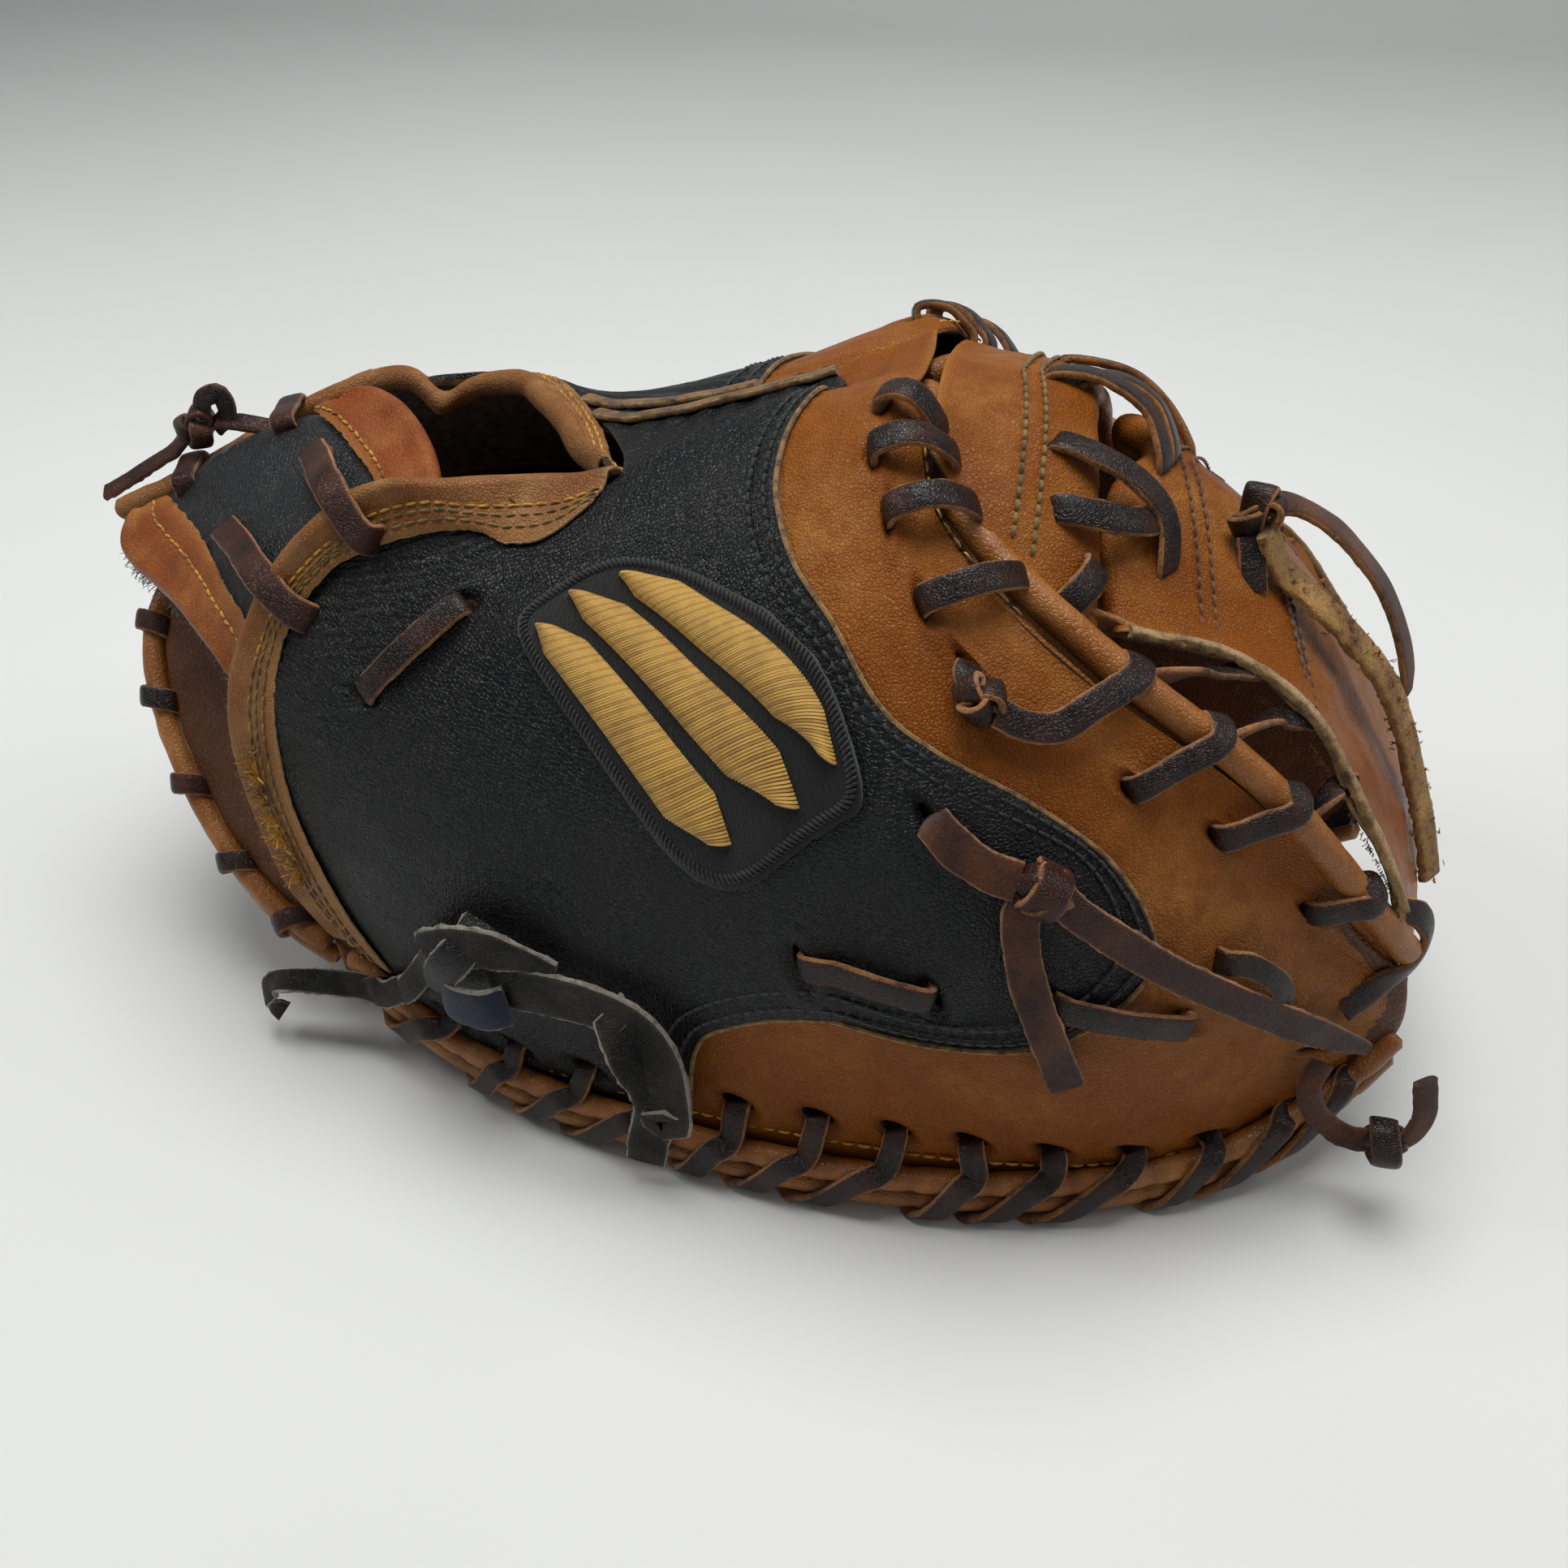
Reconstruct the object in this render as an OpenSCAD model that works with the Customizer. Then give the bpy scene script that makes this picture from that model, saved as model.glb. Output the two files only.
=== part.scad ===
// Baseball catcher's mitt, lying palm down on its rims like a tent.
// +X runs from the wrist to the web, -Y is the thumb side, +Z is up, and the floor is z = 0.
// The origin is on the floor under the palm crease, halfway along the mitt.

/* [Overall size] */
// Length from the heel to the end of the web
mitt_length = 320; // [290:1:350]
// Width over the two rims
mitt_width = 176; // [160:1:190]
// Height of the crotch of the hand above the floor
mitt_height = 166; // [150:1:180]

/* [Shell] */
// How far the back shell bulges sideways at mid height
bulge_out = 25; // [15:1:30]
// How far the back shell bulges upwards at mid height
bulge_up = 27; // [15:1:32]
// Thickness of one layer of shell leather
shell_t = 1.7; // [1.2:0.1:2]
// Thickness of the palm leather
palm_t = 2.2; // [1.6:0.1:2.6]
// Clearance between two layers
layer_gap = 0.9; // [0.7:0.1:1.2]

/* [Edges and laces] */
// Radius of the piped rolls along the edges
roll_r = 2.9; // [2.4:0.1:3.2]
// Width of a lace
lace_w = 5.5; // [4.5:0.1:6.5]
// Thickness of a lace
lace_t = 2; // [1.6:0.1:2.4]
// Number of whip stitches along each outer rim
rim_stitches = 14; // [10:1:18]
// Number of whip stitches around the heel
heel_stitches = 9; // [7:1:12]
// Number of whip stitches along each web edge
web_stitches = 9; // [7:1:11]
// Width of the leather binding along the wrist
binding_w = 9; // [7:0.5:11]

/* [Web] */
// Thickness of the web leather
web_t = 3; // [2.4:0.1:3.6]
// Where the two web pieces meet, as a part of the web's length
web_split = 0.25; // [0.2:0.01:0.32]

/* [Hidden] */

THUMB = 0;
FINGER = 1;
k_size = [mitt_length / 320, mitt_width / 176, mitt_height / 166];

// Guide lines of the thumb side, wrist to web. The finger side is their mirror image, apart from
// its own top and wrist lines. y is negative on both, and side() mirrors the finger side.
top_line = [
    [[-78, -42, 134], [-56, -36, 137], [-34, -26, 141], [-10, -14, 152], [12, -8, 159],
     [31, -16, 165], [41, -46, 149], [72, -62, 127], [106, -62, 103], [134, -53, 70],
     [150, -42, 46]],
    [[-140, -24, 124], [-108, -31, 136], [-74, -31, 140], [-44, -14, 141], [-4, -3, 154],
     [31, -14, 165], [41, -46, 149], [72, -62, 127], [106, -62, 103], [134, -53, 70],
     [150, -42, 46]]
];
wrist_line = [
    [[-78, -42, 134], [-104, -44, 116], [-118, -50, 88], [-114, -56, 54], [-96, -58, 22]],
    [[-140, -24, 124], [-148, -40, 108], [-144, -52, 82], [-126, -60, 50], [-96, -58, 22]]
];
rim_line = [
    [-96, -58, 22], [-72, -68, 12], [-46, -77, 8], [-18, -83, 7], [10, -87, 7], [38, -88, 7],
    [64, -85, 7], [90, -78, 7], [114, -66, 9], [136, -50, 17], [150, -40, 30]
];
tip_line = [[150, -42, 46], [152, -42, 38], [150, -40, 30]];
heel_line = [
    [-158, 0, 92], [-159, -14, 80], [-151, -27, 62], [-136, -39, 42], [-118, -47, 27],
    [-98, -51, 18]
];
// The pocket's own lines: the crease in the palm, which runs on as the inside of the thumb
crease_line = [
    [-158, 0, 92], [-125, 0, 96], [-90, 0, 100], [-50, 0, 104], [-10, 0, 118], [26, -6, 152],
    [43, -42, 142], [72, -57, 120], [104, -57, 97], [131, -50, 66], [147, -40, 46]
];
pocket_rim_line = [
    [-98, -51, 18], [-72, -62, 11], [-46, -71, 8], [-18, -77, 7], [10, -81, 7], [38, -82, 7],
    [64, -79, 7], [90, -72, 8], [112, -61, 10], [133, -47, 19], [147, -38, 32]
];
// How far the pocket wall bows out, from the heel to the thumb tip
pocket_bow = [0, 7, 18, 24, 20, 6, -6, -8, -8, -4, 0];
// The web's crown and its thumb edge, from the crotch to the outer end
web_crown = [
    [34, -2, 163], [62, 3, 160], [84, 5, 146], [104, 5, 131], [120, 4, 114], [134, 2, 96],
    [147, 0, 74], [155, 0, 48]
];
web_edge = [
    [36, -34, 157], [56, -50, 138], [76, -46, 124], [98, -39, 117], [115, -41, 108],
    [127, -46, 94], [140, -52, 75], [150, -44, 48]
];
// Where the black leather ends on the back, from the top line to the rim, as parts of its length
black_end = [0.39, 0.4, 0.43, 0.49, 0.7, 0.755, 0.73, 0.67, 0.5, 0.38, 0.33];
// The strap's near, middle and far lines, each from the wrist side to the hand opening
strap_line = [
    [[-120, -40, 98], [-110, -42, 112], [-92, -36, 130]],
    [[-146, -20, 108], [-128, -22, 128], [-106, -14, 139]],
    [[-168, 6, 108], [-148, 6, 126], [-122, 12, 140]]
];

back_end = 0.915;     // the shell stops here, just above the rim rolls
palm_end = 0.94;      // the palm leather stops here, inside the rim rolls
edge_fade = 20;       // the shell layers thin down where it is less than this thick
probe = 0.01;         // step used to find a surface's normal
heel_centre = 60;     // the heel's curve fans out from this far behind the origin
lap = 0.035;          // how far the tan leather runs on under the black

// ---- Curves and surfaces

function unit(v) = v / max(norm(v), 0.000001);
function lerp(a, b, t) = a + (b - a) * t;
function scaled(p) = [p[0] * k_size[0], p[1] * k_size[1], p[2] * k_size[2]];
function flip(p) = [p[0], -p[1], p[2]];
function at_side(sd, p) = sd == FINGER ? flip(p) : p;

// A smooth curve through evenly spaced points
function along(points, t) =
    let (n = len(points) - 1,
         x = min(1, max(0, t)) * n,
         i = min(floor(x), n - 1),
         f = x - i,
         b = points[i],
         c = points[i + 1],
         a = i > 0 ? points[i - 1] : 2 * b - c,
         d = i + 2 <= n ? points[i + 2] : 2 * c - b)
    0.5 * (2 * b + (c - a) * f + (2 * a - 5 * b + 4 * c - d) * f * f
        + (3 * b - a - 3 * c + d) * f * f * f);

// A surface stretched over four edge curves
function stretched(top, bottom, start, end, u, v) =
    lerp(along(top, u), along(bottom, u), v) + lerp(along(start, v), along(end, v), u)
    - lerp(lerp(top[0], top[len(top) - 1], u), lerp(bottom[0], bottom[len(bottom) - 1], u), v);

function swell(u, power) = pow(max(0, sin(180 * min(1, max(0, u)))), power);

// The outside of the back: u runs from the wrist to the thumb tip, v from the top to the rim
function outer_raw(sd, u, v) =
    let (high = (along(top_line[sd], u)[2] - along(rim_line, u)[2]) / 152,
         g = swell(u, 0.6) * min(1.2, high))
    stretched(top_line[sd], rim_line, wrist_line[sd], tip_line, u, v)
    + [0, -bulge_out * g * swell(pow(max(0, v), 1.3), 1),
       bulge_up * g * high * swell(pow(max(0, v), 0.8), 1)];
function outer(sd, u, v) = scaled(outer_raw(sd, u, v));

// The face of the pocket, with the same u and v
function inner(u, v) =
    let (g = along([for (b = pocket_bow) [b]], u)[0] * swell(pow(max(0, v), 0.9), 1))
    scaled(stretched(crease_line, pocket_rim_line, heel_line, tip_line, u, v)
        + [0, -0.8 * g, g]);

function wall(sd, u, v) = outer(sd, u, v) - inner(u, v);
function fade(sd, u, v) = min(1, norm(wall(sd, u, v)) / edge_fade);

function outer_normal(sd, u, v) =
    let (a = outer(sd, min(1, u + probe), v) - outer(sd, max(0, u - probe), v),
         b = outer(sd, u, min(1, v + probe)) - outer(sd, u, max(0, v - probe)))
    unit(cross(b, a));
function inner_normal(u, v) =
    let (a = inner(min(1, u + probe), v) - inner(max(0, u - probe), v),
         b = inner(u, min(1, v + probe)) - inner(u, max(0, v - probe)))
    unit(cross(b, a));

// A point this far outside the shell, or inside it if out is negative
function skin(sd, u, v, out) =
    outer(sd, u, v) + outer_normal(sd, u, v) * out * (out < 0 ? fade(sd, u, v) : 1);
// A point this far above the face of the pocket
function lining(sd, u, v, up) = inner(u, v) + inner_normal(u, v) * up * fade(sd, u, v);
// A point between the palm leather at 0 and the back shell at 1
function core(sd, u, v, k) =
    lerp(lining(sd, u, v, palm_t + layer_gap), skin(sd, u, v, -2 * shell_t - 2 * layer_gap), k);

// The web: s runs from the crotch to the outer end, t from the thumb at -1 to the finger at 1
function web(s, t) =
    let (c = along(web_crown, s),
         n = along(web_edge, s),
         d = (t < 0 ? n : flip(n)) - c,
         a = abs(t))
    scaled(c + [d[0] * pow(a, 1.5), d[1] * a, d[2] * a * a]);
function web_normal(s, t) =
    unit(cross(web(min(1, s + probe), t) - web(max(0, s - probe), t),
               web(s, min(1, t + probe)) - web(s, max(-1, t - probe))));
function web_skin(s, t, out) = web(s, t) + web_normal(s, t) * out;

// The wrist strap: s runs over its width, t from the thumb side to the finger side
function strap(s, t) = scaled(along([for (line = strap_line) along(line, s)], t));
function strap_normal(s, t) =
    unit(cross(strap(min(1, s + probe), t) - strap(max(0, s - probe), t),
               strap(s, min(1, t + probe)) - strap(s, max(0, t - probe))));
function strap_skin(s, t, out) = strap(s, t) + strap_normal(s, t) * out;

// The heel edge, from the thumb side at -1 over the crease to the finger side at 1
function heel(s) =
    let (p = along(heel_line, abs(s)))
    scaled(s < 0 ? p : flip(p));

// Directions along the rims and away from the mitt
function rim(u) = scaled(along(rim_line, u));
function rim_run(u) = unit(rim(min(1, u + probe)) - rim(max(0, u - probe)));
function rim_out(u) = unit(cross(rim_run(u), [0, 0, 1]));

// ---- Solids

// The closed solid between two sheets of points, each given as a function of (i, j) in 0 to 1
module sheet(low, high, n, m) {
    row = m + 1;
    layer = (n + 1) * row;
    function id(k, i, j) = k * layer + i * row + j;
    points = [for (f = [high, low]) for (i = [0:n]) for (j = [0:m]) f(i / n, j / m)];
    faces = [
        for (i = [0:n - 1]) for (j = [0:m - 1]) for (k = [0, 1])
            let (a = id(k, i, j), b = id(k, i + 1, j), c = id(k, i + 1, j + 1), d = id(k, i, j + 1))
            each k == 0 ? [[a, b, c], [a, c, d]] : [[a, c, b], [a, d, c]],
        for (i = [0:n - 1]) for (j = [0, m])
            let (a = id(0, i, j), b = id(0, i + 1, j), c = id(1, i + 1, j), d = id(1, i, j))
            each j == 0 ? [[a, c, b], [a, d, c]] : [[a, b, c], [a, c, d]],
        for (j = [0:m - 1]) for (i = [0, n])
            let (a = id(0, i, j), b = id(0, i, j + 1), c = id(1, i, j + 1), d = id(1, i, j))
            each i == 0 ? [[a, b, c], [a, c, d]] : [[a, c, b], [a, d, c]]
    ];
    polyhedron(points, faces);
}

// Sections swept along a path, with the direction that counts as up at each point
module sweep(path, ups, sections) {
    n = len(path);
    m = len(sections[0]);
    points = [
        for (i = [0:n - 1])
            let (run = unit(path[min(n - 1, i + 1)] - path[max(0, i - 1)]),
                 side = unit(cross(run, ups[i])),
                 up = cross(side, run))
            for (s = sections[i]) path[i] + side * s[0] + up * s[1]
    ];
    faces = [
        [for (j = [m - 1:-1:0]) j],
        for (i = [0:n - 2]) for (j = [0:m - 1])
            let (a = i * m + j, b = i * m + (j + 1) % m, c = b + m, d = a + m)
            each [[a, b, c], [a, c, d]],
        [for (j = [0:m - 1]) (n - 1) * m + j]
    ];
    polyhedron(points, faces);
}

function ring(r, sides) = [for (i = [0:sides - 1]) r * [cos(360 * i / sides), sin(360 * i / sides)]];
function bar(w, t) = [[w, -t] / 2, [w, t] / 2, [-w, t] / 2, [-w, -t] / 2];

module tube(path, r) {
    sweep(path, [for (p = path) [0, 0, 1]], [for (p = path) ring(r, 6)]);
}

// A lace laid along a path, with the directions in which its flat face looks
module lace(path, ups, w = lace_w, t = lace_t) {
    sweep(path, ups, [for (p = path) bar(w, t)]);
}

module side(sd) {
    if (sd == FINGER) mirror([0, 1, 0]) children();
    else children();
}

// ---- Shell, pad and palm

// Black back leather, from the wrist to the lap seam
module back_black(sd) {
    function far(v) = along([for (b = black_end) [b]], v)[0];
    function place(i, j, out) = skin(sd, far(j * back_end) * i, j * back_end, out);
    side(sd)
        sheet(function(i, j) place(i, j, -shell_t), function(i, j) place(i, j, 0), 14, 12);
}

// Tan back leather, from under the lap seam to the web edge and the thumb tip
module back_tan(sd) {
    function near(v) = along([for (b = black_end) [b]], v)[0] - lap;
    function place(i, j, out) = skin(sd, lerp(near(j * back_end), 0.985, i), j * back_end, out);
    low = -2 * shell_t - layer_gap;
    high = -shell_t - layer_gap;
    side(sd)
        sheet(function(i, j) place(i, j, low), function(i, j) place(i, j, high), 14, 12);
}

function pad_top(j) = lerp(0.38, 0.82, swell(j * 0.75, 2));

// Felt pad that fills the rim, and thins out under the hand
module pad(sd) {
    function u(i) = lerp(0.1, 0.9, i);
    function v(j) = lerp(0.2, 0.82, j);
    side(sd)
        sheet(function(i, j) core(sd, u(i), v(j), 0.03),
              function(i, j) core(sd, u(i), v(j), pad_top(j)), 14, 7);
}

// Soft lining of the hand stall, on top of the pad
module liner(sd) {
    function u(i) = lerp(0.1, 0.5, i);
    function v(j) = lerp(0.2, 0.6, j);
    function top(j) = pad_top(j * 0.65) + 0.09;
    side(sd)
        sheet(function(i, j) core(sd, u(i), v(j), top(j)),
              function(i, j) core(sd, u(i), v(j), top(j) + 0.05), 8, 4);
}

// Half of the palm leather, from the crease to the rim
module palm_half(sd) {
    function place(i, j, up) =
        lining(sd, lerp(0.03, 0.985, i), lerp(0.012, palm_end, j), up);
    side(sd)
        sheet(function(i, j) place(i, j, 0), function(i, j) place(i, j, palm_t), 20, 9);
}

// ---- Rims

roll_back = [3.4, 4.3];     // the roll on the back side: outwards and upwards of the rim line
roll_palm = [2.4, -1.9];    // the roll on the palm side
stitch_mid = [-0.2, 3.2];   // the middle of a whip stitch
stitch_r = [8.4, 9.2];      // its reach outwards and upwards

module rim_roll(sd, at) {
    path = [for (i = [0:44]) let (u = lerp(0.004, 0.982, i / 44))
        rim(u) + rim_out(u) * at[0] + [0, 0, at[1]]];
    side(sd) tube(path, roll_r);
}

// A coil of lace around a line, given its turns, its frame and its reach
module whip(turns, steps, centre, out, up, reach) {
    count = turns * steps;
    function a(i) = 360 * i / steps + 200;
    function arm(i) = out(i / count) * reach[0] * cos(a(i)) + up(i / count) * reach[1] * sin(a(i));
    lace([for (i = [0:count]) centre(i / count) + arm(i)], [for (i = [0:count]) unit(arm(i))]);
}

module rim_lace(sd) {
    function u(x) = lerp(0.045, 0.955, x);
    side(sd)
        whip(rim_stitches, 9,
             function(x) rim(u(x)) + rim_out(u(x)) * stitch_mid[0] + [0, 0, stitch_mid[1]],
             function(x) rim_out(u(x)), function(x) [0, 0, 1], stitch_r);
}

// The edge of the thumb that faces the web, and the direction from the shell to its roll
function web_side(sd, u) = outer(sd, u, 0);
function web_side_out(sd, u) = unit(outer(sd, u, 0) - outer(sd, u, 0.05));
function web_roll_mid(sd, u) =
    lerp(web_side(sd, u), inner(u, 0), 0.5) + web_side_out(sd, u) * (roll_r + 2.2);

module web_roll(sd) {
    path = [for (i = [0:26]) web_roll_mid(sd, lerp(0.53, 0.975, i / 26))];
    side(sd) tube(path, roll_r);
}

module web_lace(sd) {
    function u(x) = lerp(0.56, 0.95, x);
    side(sd)
        whip(web_stitches, 8,
             function(x) web_roll_mid(sd, u(x)) - web_side_out(sd, u(x)) * 3,
             function(x) web_side_out(sd, u(x)),
             function(x) outer_normal(sd, u(x), 0.05), [8.5, 6.5]);
}

// Leather binding folded over the hand opening and the wrist edge
binding_edge = [
    [[0.25, 0], [0.17, 0], [0.08, 0], [0, 0.02], [0, 0.24], [0, 0.48], [0, 0.72], [0, 0.9]],
    [[0.29, 0], [0.2, 0], [0.1, 0], [0, 0.02], [0, 0.24], [0, 0.48], [0, 0.72], [0, 0.9]]
];
binding_inset = [
    [[0.232, 0.075], [0.16, 0.07], [0.09, 0.07], [0.045, 0.09], [0.033, 0.25], [0.035, 0.48],
     [0.045, 0.72], [0.06, 0.9]],
    [[0.27, 0.07], [0.19, 0.06], [0.11, 0.06], [0.04, 0.09], [0.033, 0.25], [0.035, 0.48],
     [0.045, 0.72], [0.06, 0.9]]
];
module wrist_binding(sd) {
    function place(i, j, out) =
        let (q = lerp(along(binding_edge[sd], i), along(binding_inset[sd], i), j * binding_w / 9))
        skin(sd, q[0], q[1], out);
    low = layer_gap + 0.7;
    side(sd)
        sheet(function(i, j) place(i, j, low + shell_t), function(i, j) place(i, j, low), 30, 2);
}

// ---- Hand loops inside and the laces that hold them through the back

module hand_loop(sd, u0, u1) {
    function c(x) = core(sd, lerp(u0, u1, x), 0.3, 0.76 - 0.1 * swell(x, 1));
    wide = core(sd, u0, 0.5, 0.7) - core(sd, u0, 0.2, 0.8);
    path = [for (i = [0:12]) c(i / 12)];
    side(sd) lace(path, [for (p = path) cross(c(1) - c(0), wide)], 12, 2);
}

// Lace laid along the shell between two places on it
module laid(sd, from, to, steps = 6, rise = 2.6) {
    function q(x) = lerp(from, to, x);
    path = [for (i = [0:steps]) let (p = q(i / steps)) skin(sd, p[0], p[1], rise)];
    lace(path, [for (i = [0:steps]) let (p = q(i / steps)) outer_normal(sd, p[0], p[1])]);
}

back_laces = [
    [[[0.135, 0.443], [0.19, 0.315]], [[0.487, 0.73], [0.6, 0.68]], [[0.69, 0.61], [0.77, 0.6]]],
    [[[0.2, 0.5], [0.26, 0.36]], [[0.34, 0.52], [0.42, 0.4]], [[0.5, 0.7], [0.6, 0.68]]]
];
module loop_laces(sd) {
    side(sd)
        for (run = back_laces[sd]) laid(sd, run[0], run[1]);
}

// ---- Emblem

patch_mid = [0.41, 0.48];
patch_reach = [0.16, 0.2];
function patch_uv(i, j) = patch_mid + [patch_reach[0] * (i - 0.5 + 0.5 * (j - 0.5)),
                                       patch_reach[1] * 1.4 * (j - 0.5)];
module emblem_patch() {
    function place(i, j, out) = let (q = patch_uv(i, j)) skin(THUMB, q[0], q[1], out);
    sheet(function(i, j) place(i, j, 1.5), function(i, j) place(i, j, 2.6), 5, 6);
}

// Raised embroidery: three slanted bars
module emblem_thread() {
    function place(k, i, j, out) =
        let (q = patch_uv(0.15 + 0.26 * k + 0.17 * i, lerp(0.15, 0.85, j)))
        skin(THUMB, q[0], q[1], out);
    for (k = [0:2])
        sheet(function(i, j) place(k, i, j, 3.4), function(i, j) place(k, i, j, 4.4), 1, 5);
}

// ---- Web

// A web piece from s0 to s1, with both ends folded under along the web
module web_piece(s0, s1, reach, n) {
    function place(i, j, out) =
        let (s = lerp(s0, s1, i), t = lerp(-reach, reach, j)) web_skin(s, t, out);
    sheet(function(i, j) place(i, j, 0), function(i, j) place(i, j, -web_t), n, 10);
}

// Lace that crosses from one web piece to the other on top
module web_centre_lace() {
    for (t = [-0.6:0.3:0.6]) {
        path = [for (i = [0:4]) web_skin(lerp(web_split - 0.08, web_split + 0.09, i / 4),
                                         t + 0.1 * i / 4, 2.2)];
        lace(path, [for (i = [0:4]) web_normal(web_split, t)]);
    }
}

// ---- Wrist

module strap_sheet(out, t) {
    sheet(function(i, j) strap_skin(i, lerp(0.06, 0.94, j), out),
          function(i, j) strap_skin(i, lerp(0.06, 0.94, j), out - t), 6, 8);
}

// Two laces that tie one end of the strap down
module strap_laces(sd) {
    for (s = [0.25, 0.75]) {
        end = sd == THUMB ? 0 : 1;
        dir = sd == THUMB ? 1 : -1;
        path = [for (i = [0:5]) strap_skin(s, end + dir * (0.04 + 0.05 * i), 2.4)];
        lace(path, [for (i = [0:5]) strap_normal(s, 0.5)]);
    }
}

// The direction away from the palm at the heel, and the middle of the roll there
function heel_out(s) = unit([heel(s)[0] + heel_centre, heel(s)[1], 0]);
function heel_mid(s) = heel(s) + heel_out(s) * (roll_r + 1.6);

module heel_roll() {
    tube([for (i = [0:28]) heel_mid(lerp(-0.94, 0.94, i / 28))], roll_r);
}

module heel_lace() {
    function s(x) = lerp(-0.86, 0.86, x);
    function run(x) = heel_mid(s(x) + probe) - heel_mid(s(x) - probe);
    whip(heel_stitches, 8, function(x) heel_mid(s(x)), function(x) heel_out(s(x)),
         function(x) unit(cross(heel_out(s(x)), run(x))), [roll_r + 1.6, roll_r + 1.6]);
}

// Welt along the top of the back, where the thumb and finger shells are sewn together
module ridge_welt() {
    function mid(x) = lerp(outer(THUMB, lerp(0.28, 0.46, x), 0),
                           flip(outer(FINGER, lerp(0.34, 0.46, x), 0)), 0.5);
    path = [for (i = [0:8]) mid(i / 8) - [0, 0, 1.5]];
    lace(path, [for (p = path) [0, 0, 1]], 4, 3);
}

// ---- Knots and loose ends. Each is one lace, thick at its knot.

module knotted(path, ups, knot_at, knot_w, w = lace_w, t = lace_t) {
    function grow(i) = max(0, 1 - abs(i - knot_at));
    sweep(path, ups, [for (i = [0:len(path) - 1]) bar(lerp(w, knot_w, grow(i)),
                                                      lerp(t, knot_w * 0.6, grow(i)))]);
}

module on_back(points, rise, knot_at, knot_w, w = lace_w) {
    path = [for (i = [0:12]) let (p = along(points, i / 12)) skin(THUMB, p[0], p[1], rise)];
    ups = [for (i = [0:12]) let (p = along(points, i / 12)) outer_normal(THUMB, p[0], p[1])];
    knotted(path, ups, knot_at, knot_w, w);
}

module thumb_knot_tails() {
    on_back([[0.63, 0.47], [0.677, 0.455], [0.75, 0.5], [0.83, 0.55], [0.89, 0.6]], 7, 3, 11);
    on_back([[0.672, 0.53], [0.677, 0.6], [0.685, 0.68], [0.69, 0.74]], 6, -1, 0);
}

module heel_thong() {
    on_back([[0.1, 0.8], [0.18, 0.76], [0.26, 0.75], [0.32, 0.77], [0.35, 0.83]], 8, 5, 18, 9);
}

module free_lace(points, knot_at, knot_w, n = 14) {
    path = [for (i = [0:n]) scaled(along(points, i / n))];
    knotted(path, [for (p = path) [0.2, 0.3, 1]], knot_at, knot_w);
}

module rim_tail() {
    free_lace([[138, -65, 30], [138, -67, 22], [144, -67, 18], [151, -66, 16], [155, -65, 26],
               [155, -65, 37]], 8, 10);
}

module web_tails() {
    free_lace([[104, -2, 138], [112, -1, 142], [124, 0, 134], [136, -1, 118], [147, -3, 102]], 0, 11);
    free_lace([[108, -13, 136], [118, -15, 126], [134, -18, 112], [148, -20, 92], [157, -22, 66]],
              -1, 0);
}

module strap_tail() {
    free_lace([[-150, 18, 134], [-158, 16, 132], [-169, 16, 124], [-180, 16, 114], [-190, 16, 107]],
              3, 12);
}

// ---- One node each

color("#23262b") back_black(THUMB);  // thumb_back_black
color("#a9602a") back_tan(THUMB);  // thumb_back_tan
color("#b8ac94") pad(THUMB);  // thumb_pad
color("#8a5a34") liner(THUMB);  // thumb_liner
color("#8d4a22") palm_half(THUMB);  // palm_leather_thumb_half
color("#b0662e") rim_roll(THUMB, roll_back);  // thumb_rim_roll_back
color("#b0662e") rim_roll(THUMB, roll_palm);  // thumb_rim_roll_palm
color("#3a2119") rim_lace(THUMB);  // thumb_rim_lace
color("#b0662e") web_roll(THUMB);  // thumb_web_roll
color("#3a2119") web_lace(THUMB);  // thumb_web_lace
color("#a9713c") wrist_binding(THUMB);  // thumb_wrist_binding
color("#8a5a34") hand_loop(THUMB, 0.55, 0.7);  // thumb_loop
color("#3a2119") loop_laces(THUMB);  // thumb_loop_laces
color("#141416") emblem_patch();
color("#c9a048") emblem_thread();
color("#3a2119") strap_laces(THUMB);  // strap_laces_thumb
color("#23262b") back_black(FINGER);  // finger_back_black
color("#a9602a") back_tan(FINGER);  // finger_back_tan
color("#b8ac94") pad(FINGER);  // finger_pad
color("#8a5a34") liner(FINGER);  // finger_liner
color("#8d4a22") palm_half(FINGER);  // palm_leather_finger_half
color("#b0662e") rim_roll(FINGER, roll_back);  // finger_rim_roll_back
color("#b0662e") rim_roll(FINGER, roll_palm);  // finger_rim_roll_palm
color("#3a2119") rim_lace(FINGER);  // finger_rim_lace
color("#b0662e") web_roll(FINGER);  // finger_web_roll
color("#3a2119") web_lace(FINGER);  // finger_web_lace
color("#a9713c") wrist_binding(FINGER);  // finger_wrist_binding
color("#8a5a34") hand_loop(FINGER, 0.55, 0.7);  // pinky_loop
color("#3a2119") loop_laces(FINGER);  // pinky_loop_laces
color("#3a2119") strap_laces(FINGER);  // strap_laces_finger
color("#a9602a") web_piece(0.03, web_split - 0.01, 0.7, 5);  // web_base
color("#a9602a") web_piece(web_split + 0.01, 0.97, 0.84, 12);  // web_top
color("#3a2119") web_centre_lace();
color("#23262b") strap_sheet(0, 2.4);  // wrist_strap
color("#7d8a84") strap_sheet(-3, 3);  // strap_lining
color("#b0662e") heel_roll();
color("#3a2119") heel_lace();
color("#23262b") ridge_welt();
color("#3a2119") thumb_knot_tails();
color("#3a2119") rim_tail();
color("#262b33") heel_thong();
color("#a07038") web_tails();
color("#3a2119") strap_tail();
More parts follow.
